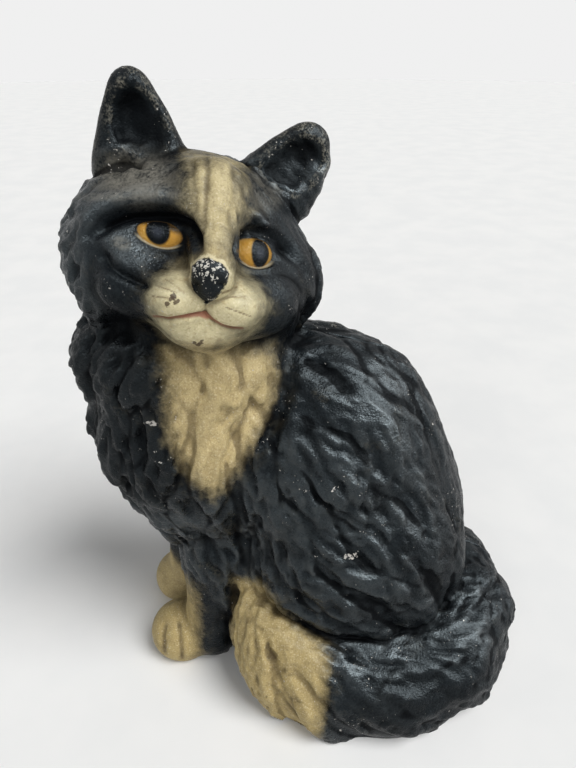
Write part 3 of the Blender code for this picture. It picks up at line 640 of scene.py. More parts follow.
def mesh_from(name, points, quads):
    mesh = bpy.data.meshes.new(name)
    mesh.vertices.add(len(points))
    mesh.vertices.foreach_set("co", np.asarray(points, np.float32).ravel())
    mesh.loops.add(4 * len(quads))
    mesh.loops.foreach_set("vertex_index", quads.astype(np.int32).ravel())
    mesh.polygons.add(len(quads))
    mesh.polygons.foreach_set("loop_start", np.arange(len(quads), dtype=np.int32) * 4)
    mesh.update(calc_edges=True)
    mesh.validate()
    mesh.shade_smooth()
    return mesh


def ringed_quads(rings, around):
    """Quads between neighbouring rings of points: the corners on a ring and then on the next."""
    inner = np.arange(around * (rings - 1))
    nxt = inner - inner % around + (inner + 1) % around
    return inner, nxt, nxt + around, inner + around


def make_core():
    """The sand core that leaves the casting hollow: the figure's own forms set in, with the screw's pillar
    and the lugs left standing, open underneath."""
    core = Clay(*[np.arange(low, high, CORE_GRID) * MM for low, high in CORE_RANGES])
    add_trunk(core, inset=CORE_INSET)
    add_skull(core, inset=CORE_INSET)
    add_tail(core, inset=CORE_INSET)
    core.ball(*CORE_MOUTH, inset=CORE_INSET)
    x, y, z = core.spread()
    pillar = PILLAR_RADIUS - np.hypot(x - SCREW_X, z - SCREW_Z) + 0.0 * y
    core.field = np.maximum(core.field, pillar)
    for lug_x, lug_z in LUG_PLACES:
        aside = np.hypot(x - lug_x, z - lug_z) + 0.0 * y
        lug = LUG_RADIUS - np.maximum(aside, np.abs(y) - LUG_DEPTH + LUG_RADIUS)
        core.field = np.maximum(core.field, lug)
    points, quads = surface_nets(core.axes, core.field)
    made = link("core", mesh_from("core", cad_place(points), quads))
    made.hide_render = True
    return made


def make_bore(name, ends, radius):
    """A closed cylinder on the screw's line, from end to end along Y."""
    turns = np.linspace(0.0, 2.0 * math.pi, RING_POINTS, endpoint=False)
    across = SCREW_X + radius * np.cos(turns)
    up = SCREW_Z + radius * np.sin(turns)
    points = np.concatenate([np.stack([across, np.full(RING_POINTS, end), up], axis=1) for end in ends])
    quads = np.stack(ringed_quads(2, RING_POINTS), axis=1)
    caps = [list(range(RING_POINTS - 1, -1, -1)), list(range(RING_POINTS, 2 * RING_POINTS))]
    mesh = bpy.data.meshes.new(name)
    mesh.from_pydata(cad_place(points).tolist(), [], quads.tolist() + caps)
    made = link(name, mesh)
    made.hide_render = True
    return made


def cut(skin, cutters):
    """Cuts closed solids out of a skin, and keeps the result as its mesh."""
    for cutter in cutters:
        modifier = skin.modifiers.new("cut", "BOOLEAN")
        modifier.operation = "DIFFERENCE"
        modifier.solver = "EXACT"
        modifier.object = cutter
    bpy.context.view_layer.update()
    baked = bpy.data.meshes.new_from_object(skin.evaluated_get(bpy.context.evaluated_depsgraph_get()))
    skin.modifiers.clear()
    old = skin.data
    skin.data = baked
    baked.name = skin.name
    bpy.data.meshes.remove(old)


def jitter(row, place, kind):
    """A repeatable number from -1 to 1 for a lock: the sine of a sum of its numbers, enlarged and wrapped."""
    value = math.sin(12.9898 * row + 78.233 * place + 37.719 * kind) * 43758.5453
    return 2.0 * (value - math.floor(value)) - 1.0


def lock_rays():
    """Lines that point at the coat from inside, one for each main lock: start, direction, row and place."""
    rays = []
    low, high, step = BODY_ROWS
    heights, middles = zip(*BODY_MIDDLE)
    for row in range(int((high - low) / step) + 1):
        up = low + row * step
        middle = float(np.interp(up, heights, middles))
        for place in range(ROUND_BODY):
            turn = 2.0 * math.pi * (place + 0.5 * (row % 2) + 0.22 * jitter(row, place, 0)) / ROUND_BODY
            start = Vector((middle, 0.0, up + 2.6 * jitter(row, place, 1)))
            rays.append((start, Vector((math.sin(turn), -math.cos(turn), 0.0)), row, place))
    row = TAIL_FIRST_ROW - 1
    for (start, _), (end, _) in zip(TAIL_STATIONS, TAIL_STATIONS[1:]):
        path = Vector(end) - Vector(start)
        outward = Vector((path.y, -path.x, 0.0)).normalized() * -1.0
        count = max(int(round(path.length / TAIL_RING_STEP)), 1)
        for ring in range(count):
            row += 1
            centre = Vector(start) + path * (ring / count)
            for place, angle in enumerate(TAIL_RING_ANGLES):
                turn = math.radians(angle + 9.0 * jitter(row, place, 0) + 14.0 * (row % 2))
                way = outward * math.cos(turn) + Vector((0.0, 0.0, math.sin(turn)))
                rays.append((centre, way, row, place))
    return rays


def bare(place):
    """Whether no main lock belongs at a place in millimetres: the face, the head's top and the feet."""
    x, y, z = place
    face = y < 4.0 and ((x + 24.0) / 27.0) ** 2 + ((z - 172.0) / 27.0) ** 2 < 1.0
    feet = x < -22.0 and z < 46.0
    return face or feet or z > 186.0 or z < 7.0


def lay_out_locks(clay):
    """Each main lock's stations: arrays of places on the bare body, normals and directions, and its sizes. A
    lock is centred where its line leaves the body; it follows the coat's flow over the surface, turned by its
    own sway and by a curl that grows from root to tip."""
    rays = lock_rays()
    starts = np.array([ray[0][:] for ray in rays]) * MM
    ways = np.array([ray[1][:] for ray in rays])
    reach = np.arange(90.0, 4.0, -0.5) * MM
    path = starts[:, None, :] + ways[:, None, :] * reach[None, :, None]
    within = clay.sample(path.reshape(-1, 3)).reshape(len(rays), -1) < 0.0
    places = path[np.arange(len(rays)), within.argmax(axis=1)]
    kept = [n for n in range(len(rays)) if within[n].any() and not bare(places[n] / MM)]
    places = places[kept]
    numbers = [rays[n][2:] for n in kept]
    sway, growth, curl = (np.array([jitter(*number, kind) for number in numbers]) for kind in (2, 3, 4))
    straight = np.array([TAIL_SWAY if row >= TAIL_FIRST_ROW else 1.0 for row, _ in numbers])
    sway = np.radians(LOCK_SWAY * sway) * straight
    curl = np.radians(LOCK_CURL * curl) * straight
    along, sizes = comb(places, clay.slope(places, FORM_SLOPE_REACH))
    sizes = sizes * (1.0 + LOCK_GROWTH * growth)[:, None]
    stride = 2.0 * LOCK_SPREAD * sizes[:, :1] * MM / (LOCK_STEPS - 1)
    stations = []
    places = clay.to_surface(places - along * LOCK_SPREAD * sizes[:, :1] * MM)
    for step in range(LOCK_STEPS):
        normals = clay.slope(places, FORM_SLOPE_REACH)
        along, _ = comb(places, normals)
        turn = (sway + curl * (2.0 * step / (LOCK_STEPS - 1) - 1.0))[:, None]
        along = along * np.cos(turn) + np.cross(normals, along) * np.sin(turn)
        stations.append((places, normals, along))
        places = clay.to_surface(places + along * stride)
    return stations, sizes


def add_locks(clay):
    """The coat's main locks, each a row of flattened balls that is sunk in at its root, and that narrows and
    rises to its tip."""
    stations, sizes = lay_out_locks(clay)
    for n, (half_length, half_width, thick) in enumerate(sizes):
        balls = []
        for step, (places, normals, along) in enumerate(stations):
            share = step / (LOCK_STEPS - 1)
            width = half_width * (0.85 + 0.60 * share - 1.10 * share**2)
            height = LOCK_HEIGHT * thick * (1.0 - 0.30 * share)
            sunk = height * (LOCK_ROOT_DEPTH + (LOCK_TIP_DEPTH - LOCK_ROOT_DEPTH) * share)
            normal = Vector(normals[n])
            forward = Vector(along[n]).normalized()
            matrix = Matrix((forward, normal.cross(forward), normal)).transposed().to_4x4()
            matrix.translation = Vector(places[n]) - normal * sunk * MM
            balls.append((matrix, (0.45 * half_length, width, height)))
        clay.group(balls, within=3.0, blend=LOCK_BLEND)


def make_clay():
    """The whole figure: trunk, head and tail set in by the coat's thickness, its locks, and the rest."""
    fine = 1.0
    xs = stepped(((-76.0, 0.94 / fine), (14.0, 1.02 / fine), (96.0, 1.0)))
    ys = stepped(((-66.0, 0.93 / fine), (-1.2, 0.4 / fine), (1.2, 1.1 / fine), (48.0, 1.0)))
    zs = stepped(((-6.0, 1.02 / fine), (144.0, 0.90 / fine), (222.0, 1.0)))
    clay = Clay(xs, ys, zs)
    add_trunk(clay, inset=TRUNK_INSET)
    add_skull(clay, inset=SKULL_INSET)
    add_tail(clay, inset=TAIL_INSET)
    add_locks(clay)
    add_forelegs(clay)
    add_face(clay)
    add_ears(clay)
    return clay


def sighted(points):
    """Where each point is seen on the sighting plane, in millimetres: across and up."""
    share = (SIGHT_Y - EYE_POINT.y) / np.minimum(points[:, 1] - EYE_POINT.y, 0.35)
    across = points[:, 0] * share
    up = EYE_POINT.z + (points[:, 2] - EYE_POINT.z) * share
    return across / MM, up / MM


def slant(points, normals):
    """Cosine between each point's normal and its line to the camera."""
    view = points - np.array(EYE_POINT)
    view /= np.linalg.norm(view, axis=1, keepdims=True)
    return -np.sum(view * normals, axis=1)


def facing(points, normals):
    """How squarely the camera sees each point of the front half: 0 from the side and behind, 1 in front."""
    return step_up(slant(points, normals), 0.05, 0.3) * step_up(-points[:, 1] / MM, -6.0, 0.0)


def to_line(x, z, line):
    """Distance to an open line, and the share of the line's length at its nearest point."""
    line = np.array(line, float)
    lengths = np.linalg.norm(np.diff(line, axis=0), axis=1)
    starts = np.concatenate(([0.0], np.cumsum(lengths)))
    best = np.full(len(x), 1e3)
    share = np.zeros(len(x))
    for n, length in enumerate(lengths):
        ux, uz = (line[n + 1] - line[n]) / length
        along = np.clip((x - line[n, 0]) * ux + (z - line[n, 1]) * uz, 0.0, length)
        away = np.hypot(x - line[n, 0] - along * ux, z - line[n, 1] - along * uz)
        nearer = away < best
        best = np.where(nearer, away, best)
        share = np.where(nearer, (starts[n] + along) / starts[-1], share)
    return best, share


def ridge(x, z, line, width):
    """1 on a line, falling smoothly to 0 beside it and less towards its two ends."""
    away, share = to_line(x, z, line)
    ends = np.clip(np.minimum(share, 1.0 - share) / 0.12, 0.0, 1.0)
    return np.exp(-((away / width) ** 2)) * (0.35 + 0.65 * ends)


def oval(x, z, place, radii, turn=0.0):
    """Distance measure of an ellipse: 1 on its outline, 0 at its middle; turn in degrees, up to the right."""
    c, s = math.cos(math.radians(turn)), math.sin(math.radians(turn))
    u = (c * (x - place[0]) + s * (z - place[1])) / radii[0]
    v = (-s * (x - place[0]) + c * (z - place[1])) / radii[1]
    return np.hypot(u, v)


def inside(x, z, outline):
    """Signed distance to a closed outline, positive inside."""
    closed = list(outline) + [outline[0]]
    away, _ = to_line(x, z, closed)
    odd = np.zeros(len(x), bool)
    for (x0, z0), (x1, z1) in zip(closed, closed[1:]):
        spans = (z0 > z) != (z1 > z)
        crossing = x0 + (z - z0) * (x1 - x0) / (z1 - z0 + 1e-12)
        odd ^= spans & (x < crossing)
    return np.where(odd, away, -away)


def face_relief(points, seen):
    """Height of the face's drawing above the plain head, in millimetres: its lines and bumps, the sockets
    with round eyes and their rims, and the nose."""
    x, z = sighted(points)
    height = 1.1 * step_up(inside(x, z, NOSE_OUTLINE), -0.9, 1.1)
    for rise, width, line in DRAWN_LINES:
        height += rise * ridge(x, z, line, width)
    for rise, place, radii, turn in DRAWN_BUMPS:
        height += rise * np.exp(-(oval(x, z, place, radii, turn) ** 2))
    for eye in (LEFT_EYE, RIGHT_EYE):
        reach = oval(x, z, *eye)
        height -= 1.3 * (1.0 - step_up(reach, 0.9, 1.5))
        height += 1.7 * np.sqrt(np.clip(1.0 - (reach / 1.03) ** 2, 0.0, 1.0))
        height += 0.15 * np.exp(-(((reach - 1.16) / 0.12) ** 2))
    return height * seen


def comb(points, normals):
    """How the coat lies at points: directions along the surface, and a lock's half length, half width and
    thickness, each the mean of the flow's values weighted by nearness."""
    total = np.zeros((len(points), 6))
    weights = np.zeros(len(points))
    for place, direction, size in COMB:
        away = np.linalg.norm(points / MM - np.array(place), axis=1)
        weight = np.exp(-((away / COMB_REACH) ** 2)) + 1e-9 / (1.0 + away**2)
        total += weight[:, None] * np.array([*Vector(direction).normalized(), *size])
        weights += weight
    total /= weights[:, None]
    along = total[:, :3]
    along -= normals * np.sum(along * normals, axis=1, keepdims=True)
    along /= np.maximum(np.linalg.norm(along, axis=1, keepdims=True), 1e-6)
    return along, total[:, 3:]


def scatter(points, spacing, seed):
    """One point in each cell of a grid, picked by a seeded shuffle."""
    order = np.random.default_rng(seed).permutation(len(points))
    cells = np.floor(points[order] / spacing).astype(np.int64)
    _, first = np.unique(cells @ np.array([1, 4096, 16777216]), return_index=True)
    return order[first]


def small_locks(points, normals, places):
    """Height of overlapping pointed locks that follow the coat's flow, in millimetres. A lock rises from its
    root to its tip and ends there in a soft step; across, it is a rounded back."""
    height = np.zeros(len(points))
    rng = np.random.default_rng(SMALL_LOCK_SEED)
    roots = places[scatter(points[places], SMALL_LOCK_SPACING, SMALL_LOCK_SEED)]
    along, sizes = comb(points[roots], normals[roots])
    across = np.cross(normals[roots], along)
    swing = rng.normal(0.0, 0.20, len(roots))
    along = along * np.cos(swing)[:, None] + across * np.sin(swing)[:, None]
    across = np.cross(normals[roots], along)
    curl = rng.normal(0.0, 0.30, len(roots))
    vary = rng.uniform(0.8, 1.25, (len(roots), 3))
    length, width, tall = sizes.T
    tall = tall * np.clip((26.0 - length) / 10.0, 0.25, 1.0) * vary[:, 2] * SMALL_LOCK_SIZES[2]
    length = length * vary[:, 0] * MM * SMALL_LOCK_SIZES[0]
    width = width * vary[:, 1] * MM * SMALL_LOCK_SIZES[1] * 0.5
    order = np.argsort(points[:, 2])
    levels = points[order, 2]
    for n, root in enumerate(roots):
        start = points[root] - along[n] * length[n] * 0.5
        low = np.searchsorted(levels, points[root, 2] - 0.75 * length[n])
        high = np.searchsorted(levels, points[root, 2] + 0.75 * length[n])
        near = order[low:high]
        offset = points[near] - start
        s = offset @ along[n] / length[n]
        keep = (s > 0.0) & (s < 1.0)
        near, offset, s = near[keep], offset[keep], s[keep]
        bend = curl[n] * (2.0 * s - 0.6) ** 2 * length[n] / width[n] * 0.35
        room = 1.45 * np.sqrt(s) * (1.0 - s) ** 0.62
        ratio = (offset @ across[n] / width[n] - bend) / np.maximum(room, 1e-3)
        depth = np.abs(offset @ normals[root]) / width[n]
        keep = (np.abs(ratio) < 1.0) & (depth < 2.2)
        near, ratio, s = near[keep], ratio[keep], s[keep]
        rise = tall[n] * (0.25 + 0.75 * s) * (1.0 - ratio**2) * step_up(1.0 - s, 0.0, 0.20)
        height[near] = np.maximum(height[near], rise)
    return height


def value_noise(points, spacing, seed):
    """Smooth noise about 0, of even spread: random numbers at a cube of grid places that repeats, with the
    spacing in millimetres, blended between them by a smooth step."""
    grid = np.random.default_rng(seed).normal(0.0, 1.0, (NOISE_SIDE, NOISE_SIDE, NOISE_SIDE))
    place = points / (spacing * MM)
    low = np.floor(place)
    share = place - low
    share = share * share * (3.0 - 2.0 * share)
    low = low.astype(np.int64)
    total = np.zeros(len(points))
    for corner in np.ndindex(2, 2, 2):
        weight = np.prod(np.where(np.array(corner) == 1, share, 1.0 - share), axis=1)
        total += weight * grid[tuple(((low + corner) % NOISE_SIDE).T)]
    return total


def strands(points, along, spacing, reach, seed):
    """Hair that follows the coat's flow: noise smeared along each point's direction out to the reach, scaled
    to a spread of 1, and bent so that its ridges are round and its grooves sharp."""
    total = np.zeros(len(points))
    for step in np.arange(-reach, reach, 0.7 * spacing):
        total += value_noise(points + along * (step * MM), spacing, seed)
    total = np.clip(total / total.std(), -2.2, 2.2)
    return total - 0.22 * (total**2 - 1.0)


def coat_relief(points, normals, outer, calm):
    """The coat's drawing over the main locks: smaller locks, with strands laid over them and, apart from the
    eyes and the muzzle, over the head and in the ears."""
    locks = small_locks(points, normals, np.flatnonzero(outer & (calm > 0.05)))
    along, sizes = comb(points, normals)
    across = np.cross(normals, along)
    turn = 0.30 * value_noise(points, 16.0, 5)[:, None]
    along = along * np.cos(turn) + across * np.sin(turn)
    hair = 0.36 * strands(points, along, 2.8, 12.0, 3) + 0.14 * strands(points, along, 1.5, 8.0, 4)
    on_tail = step_up(sizes[:, 0], 19.0, 22.5)
    coat_hair = hair * np.clip(sizes[:, 2] / 2.8, 0.5, 1.0) * (1.0 - 0.65 * on_tail)
    coat_hair += TAIL_HAIR * on_tail * strands(points, along, 4.8, 20.0, 7)
    x, z = sighted(points)
    eyes = np.minimum(oval(x, z, *LEFT_EYE), oval(x, z, *RIGHT_EYE))
    plain = np.minimum(step_up(eyes, 1.4, 2.2), step_up(z, 168.0, 182.0))
    hollows = np.minimum(oval(x, z, *LEFT_EAR_HOLLOW), oval(x, z, *RIGHT_EAR_HOLLOW))
    scoops = EAR_HAIR * (1.0 - step_up(hollows, 0.7, 1.0))
    head = hair * (HEAD_HAIR * (1.0 - step_up(z, 196.0, 200.0)) + scoops) * plain
    return (locks - COAT_LEVEL + coat_hair) * calm + head * (1.0 - calm)


def calmness(points):
    """How much of the coat shows: none on the face, the scoops of the ears, the paws and the lower legs."""
    x, z = sighted(points)
    front = step_up(-points[:, 1] / MM, 2.0, 10.0)
    calm = 1.0 - front * (1.0 - step_up(oval(x, z, *FACE_OVAL), 0.86, 1.06))
    legs = step_up(-points[:, 0] / MM, 22.0, 30.0) * (1.0 - step_up(points[:, 2] / MM, 36.0, 52.0))
    return calm * (1.0 - legs) * (1.0 - step_up(points[:, 2] / MM, 188.0, 196.0))


def soften(values, edges, steps):
    """Each value drawn towards the mean of its neighbours along the net's edges, a number of times."""
    count = np.bincount(edges.ravel(), minlength=len(values))
    for _ in range(steps):
        total = np.bincount(edges[:, 0], values[edges[:, 1]], len(values))
        total += np.bincount(edges[:, 1], values[edges[:, 0]], len(values))
        values = 0.65 * values + 0.35 * total / np.maximum(count, 1)
    return values


def carve(points, edges):
    """Points pushed along the form's normals by the relief, and how far each stands above the relief's mean
    in millimetres. Points of the parting plane and the ground stay on them, and those just inside the edge
    follow it."""
    normals = figure.slope(points)
    depth = np.abs(figure.sample(points)) / MM
    calm = calmness(points)
    coat = soften(coat_relief(points, normals, depth < SURFACE_DEPTH, calm), edges, COAT_SOFTENING)
    height = face_relief(points, facing(points, normals)) + coat
    drawn = height + COAT_MEAN * calm
    height *= np.clip(1.0 - np.maximum(depth - SURFACE_DEPTH, 0.0) / RELIEF_DEPTH, 0.0, 1.0)
    height *= step_up(points[:, 2] / MM, 0.0, 2.0)
    moved = normals * height[:, None] * MM
    moved[np.abs(points[:, 1]) < 0.6 * MM, 1] = 0.0
    moved[points[:, 2] < 0.5 * MM, 2] = 0.0
    return points + moved, drawn


def cream_paint(points, x, z, turned_to):
    """Signed distance to the cream markings in millimetres, positive inside. They are outlines seen from the
    camera, ended smoothly where the surface turns away, and balls round the paws."""
    low = (points[:, 2] < 62.0 * MM) & (points[:, 0] < -18.0 * MM)
    beside_leg = points[:, 0] / MM + 19.0 - 0.6 * (points[:, 1] / MM + 24.0)
    off_leg = np.maximum(beside_leg, points[:, 2] / MM - 58.0)
    tail = np.minimum(inside(x, z, TAIL_CREAM), 1.2 * off_leg)
    cream = np.maximum.reduce([inside(x, z, FACE_CREAM), inside(x, z, CHEST_CREAM), tail])
    cream = np.where(low, np.maximum(cream, inside(x, z, NEAR_PAW_CREAM)), cream)
    cream = np.clip(cream, FAR_OUTSIDE, 25.0 * (turned_to + 0.22))
    for place, size in PAW_CREAM:
        cream = np.maximum(cream, size - np.linalg.norm(points / MM - np.array(place), axis=1))
    return cream


def paint_marks(points, height, near_side):
    """Values at every point that the paint follows: signed distances in millimetres to painted shapes,
    positive inside; the relief's height; how sharply the form bends, above 0 on edges and below 0 in grooves;
    and where the point is seen on the sighting plane, far off where the camera doesn't see it."""
    normals = figure.slope(points)
    seen = facing(points, normals) if near_side else np.zeros(len(points))
    turned_to = slant(points, normals) if near_side else np.full(len(points), -1.0)
    x, z = sighted(points)
    hidden = turned_to < -0.30
    cream = cream_paint(points, x, z, turned_to)
    reach = 1.5 * MM
    bend = -6.0 * figure.sample(points)
    for step in np.eye(3) * reach:
        bend += figure.sample(points + step) + figure.sample(points - step)
    x = np.where(hidden, NEVER, x)
    z = np.where(hidden, NEVER, z)
    whiskers = np.minimum.reduce([to_line(x, z, line)[0] for line in WHISKERS])
    return {
        "cream": cream,
        "height": height,
        "rim": bend / reach**2 * MM,
        "nose": np.where(hidden, FAR_OUTSIDE, inside(x, z, NOSE_OUTLINE)),
        "lip": np.where(hidden, FAR_OUTSIDE, inside(x, z, LIP)),
        "mouth": np.where(hidden, -FAR_OUTSIDE, to_line(x, z, MOUTH)[0]),
        "whisker": np.where(hidden, -FAR_OUTSIDE, whiskers),
        "sight": np.stack([x, z, seen], axis=1),
    }


def mesh_arrays(mesh):
    """A mesh's points and its edges' ends."""
    points = np.zeros(3 * len(mesh.vertices), np.float32)
    mesh.vertices.foreach_get("co", points)
    ends = np.zeros(2 * len(mesh.edges), np.int32)
    mesh.edges.foreach_get("vertices", ends)
    return points.reshape(-1, 3).astype(float), ends.reshape(-1, 2)


def refine_face(mesh):
    """Splits the faces of the cat's face in four, so that the fine drawing there has room."""
    points, ends = mesh_arrays(mesh)
    x, z = sighted(points)
    wanted = oval(x, z, *FINE_OVAL) < 1.0
    wanted &= facing(points, figure.slope(points)) > 0.15
    wanted &= np.abs(figure.sample(points)) < 0.5 * MM
    net = bmesh.new()
    net.from_mesh(mesh)
    net.edges.ensure_lookup_table()
    edges = [net.edges[n] for n in np.flatnonzero(wanted[ends].all(axis=1))]
    bmesh.ops.subdivide_edges(net, edges=edges, cuts=1, use_grid_fill=True)
    net.to_mesh(mesh)
    net.free()


def make_skin(name, node, side, cutters):
    """One half casting: the near half has side -1, the far half 1."""
    _, y, z = figure.spread()
    half = np.maximum(np.maximum(figure.field, SKIN_GAP / 2.0 - side * y), -z)
    mesh = mesh_from(name, *surface_nets(figure.axes, half))
    if side < 0.0:
        refine_face(mesh)
    skin = link(name, mesh)
    points, ends = mesh_arrays(mesh)
    carved, height = carve(points, ends)
    mesh.vertices.foreach_set("co", cad_place(carved).astype(np.float32).ravel())
    for key, values in paint_marks(points, height, side < 0.0).items():
        kind, part = ("FLOAT_VECTOR", "vector") if values.ndim == 2 else ("FLOAT", "value")
        mark = mesh.attributes.new(key, kind, "POINT")
        mark.data.foreach_set(part, values.astype(np.float32).ravel())
    mesh.update()
    cut(skin, cutters)
    skin.data.shade_smooth()
    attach(skin, "root")
    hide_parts(node)
    return skin


class Wire:
    """An output of a material's node. Sums on it add Math nodes."""

    def __init__(self, finish, socket):
        self.finish = finish
        self.socket = socket

    def maths(self, operation, *values):
        return self.finish.node("Math", {"operation": operation}, dict(enumerate(values)))

    def __add__(self, other):
        return self.maths("ADD", self, other)

    def __sub__(self, other):
        return self.maths("SUBTRACT", self, other)

    def __rsub__(self, other):
        return self.maths("SUBTRACT", other, self)

    def __mul__(self, other):
        return self.maths("MULTIPLY", self, other)

    __radd__ = __add__
    __rmul__ = __mul__

    def root(self):
        return self.maths("SQRT", self)

    def most(self, other):
        return self.maths("MAXIMUM", self, other)

    def least(self, other):
        return self.maths("MINIMUM", self, other)

    def step(self, low, high):
        """Smooth step from 0 at low to 1 at high; low may be the larger."""
        limits = {"Value": self, "From Min": low, "From Max": high}
        return self.finish.node("MapRange", {"interpolation_type": "SMOOTHSTEP"}, limits)


class Finish:
    """The nodes of a material or a world being made."""

    def __init__(self, owner):
        owner.use_nodes = True
        self.owner = owner
        self.tree = owner.node_tree

    def node(self, kind, settings, values, output=0):
        """A node of a kind with its settings and its sockets' values or links; gives one of its outputs."""
        made = self.tree.nodes.new("ShaderNode" + kind)
        for key, value in settings.items():
            setattr(made, key, value)
        for key, value in values.items():
            self.feed(made.inputs[key], value)
        return Wire(self, made.outputs[output])

    def feed(self, socket, value):
        """Links a wire to a socket, or sets the socket to a value."""
        if isinstance(value, Wire):
            self.tree.links.new(value.socket, socket)
        else:
            socket.default_value = value


class Coating(Finish):
    """A material being made, with its noises in the object's own coordinates."""

    def __init__(self, name):
        super().__init__(bpy.data.materials.new(name))
        self.shader = self.tree.nodes["Principled BSDF"]
        self.place = self.node("TexCoord", {}, {}, "Object")

    def noise(self, size, detail=3.0, roughness=0.55):
        """Noise whose features are about a size in metres."""
        values = {"Vector": self.place, "Scale": 1.0 / size, "Detail": detail, "Roughness": roughness}
        return self.node("TexNoise", {}, values)

    def mark(self, name, output="Fac"):
        return self.node("Attribute", {"attribute_name": name}, {}, output)

    def mix(self, share, first, second):
        """One colour turning into another; a colour is three numbers or a wire."""
        ends = [value if isinstance(value, Wire) else (*value, 1.0) for value in (first, second)]
        return self.node("Mix", {"data_type": "RGBA"}, {0: share, 6: ends[0], 7: ends[1]}, 2)

    def bumps(self, height, strength, distance):
        values = {"Strength": strength, "Distance": distance, "Height": height}
        return self.node("Bump", {}, values, "Normal")

    def surface(self, **sockets):
        """Sets the shader's sockets, named in small letters, and gives the material."""
        for key, value in sockets.items():
            self.feed(self.shader.inputs[key.replace("_", " ").title().replace("Ior", "IOR")], value)
        return self.owner

    def dulled(self, gloss, **sockets):
        """Mixes the surface with a second one like it that differs in the given constant sockets; a gloss of
        1 leaves the first alone."""
        first = self.shader
        self.shader = self.tree.nodes.new("ShaderNodeBsdfPrincipled")
        for old, new in zip(first.inputs, self.shader.inputs):
            if old.is_linked:
                self.tree.links.new(old.links[0].from_socket, new)
            elif old.type in ("VALUE", "RGBA"):
                new.default_value = old.default_value
        self.surface(**sockets)
        ends = {1: Wire(self, self.shader.outputs[0]), 2: Wire(self, first.outputs[0])}
        joined = self.node("MixShader", {}, {0: gloss, **ends})
        self.feed(self.tree.nodes["Material Output"].inputs["Surface"], joined)
        return self.owner


def oval_reach(across, up, *ovals):
    """Distance measure of the nearest of some ellipses in a material: 1 on its outline, 0 at its middle."""
    nearest = None
    for place, radii, turn in ovals:
        c, s = math.cos(math.radians(turn)), math.sin(math.radians(turn))
        u = (across - place[0]) * (c / radii[0]) + (up - place[1]) * (s / radii[0])
        v = (across - place[0]) * (-s / radii[1]) + (up - place[1]) * (c / radii[1])
        reach = (u * u + v * v).root()
        nearest = reach if nearest is None else nearest.least(reach)
    return nearest


ENAMEL_DEEP = (0.0030, 0.0036, 0.0044)
ENAMEL_THIN = (0.0080, 0.0104, 0.0124)
# Deeper black painted as shade over the ruff on the left side
RUFF_SHADE_BLACK = (0.0022, 0.0025, 0.0030)
# Darker black painted as shade in creases and deep grooves
CREASE_SHADE_BLACK = (0.0015, 0.0016, 0.0020)
OVERSPRAY = (0.062, 0.053, 0.034)
# Grey of dust, also used for painted highlights on the left brow's ridge and cheek
DUST_AND_HIGHLIGHT_GREY = (0.150, 0.141, 0.118)
PALE_CREAM = (0.58, 0.515, 0.315)
GOLD_TAN = (0.455, 0.36, 0.18)
PAW_TAN = (0.40, 0.31, 0.14)
BRIGHT_FLECK = (0.82, 0.74, 0.55)
BROWN_FLECK = (0.17, 0.12, 0.062)
MUZZLE_BROWN = (0.27, 0.19, 0.085)
# Brown of grime in random patches, and of painted shade in the cream's grooves and creases
GRIME_AND_SHADE = (0.060, 0.042, 0.024)
BARE_IRON = (0.42, 0.40, 0.37)
WORN_EDGE = (0.34, 0.32, 0.26)
AMBER = (0.46, 0.265, 0.055)
BURNT_AMBER = (0.42, 0.19, 0.020)
IRIS_EDGE = (0.20, 0.11, 0.030)
LID_CREAM = (0.40, 0.34, 0.22)
PUPIL_GREY = (0.022, 0.025, 0.034)
PUPIL_BLACK = (0.0025, 0.0028, 0.0035)
NOSE_CHIP = (0.60, 0.58, 0.52)
# Bright cream of a painted highlight on the nose's upper rim
NOSE_RIM_HIGHLIGHT = (0.80, 0.72, 0.48)
MOUTH_BROWN = (0.16, 0.065, 0.040)
LIP_RED = (0.34, 0.150, 0.095)
WHISKER_BROWN = (0.13, 0.09, 0.045)
SPOT_BROWN = (0.060, 0.035, 0.020)
SHEEN_TINT = (0.80, 0.94, 1.0, 1.0)


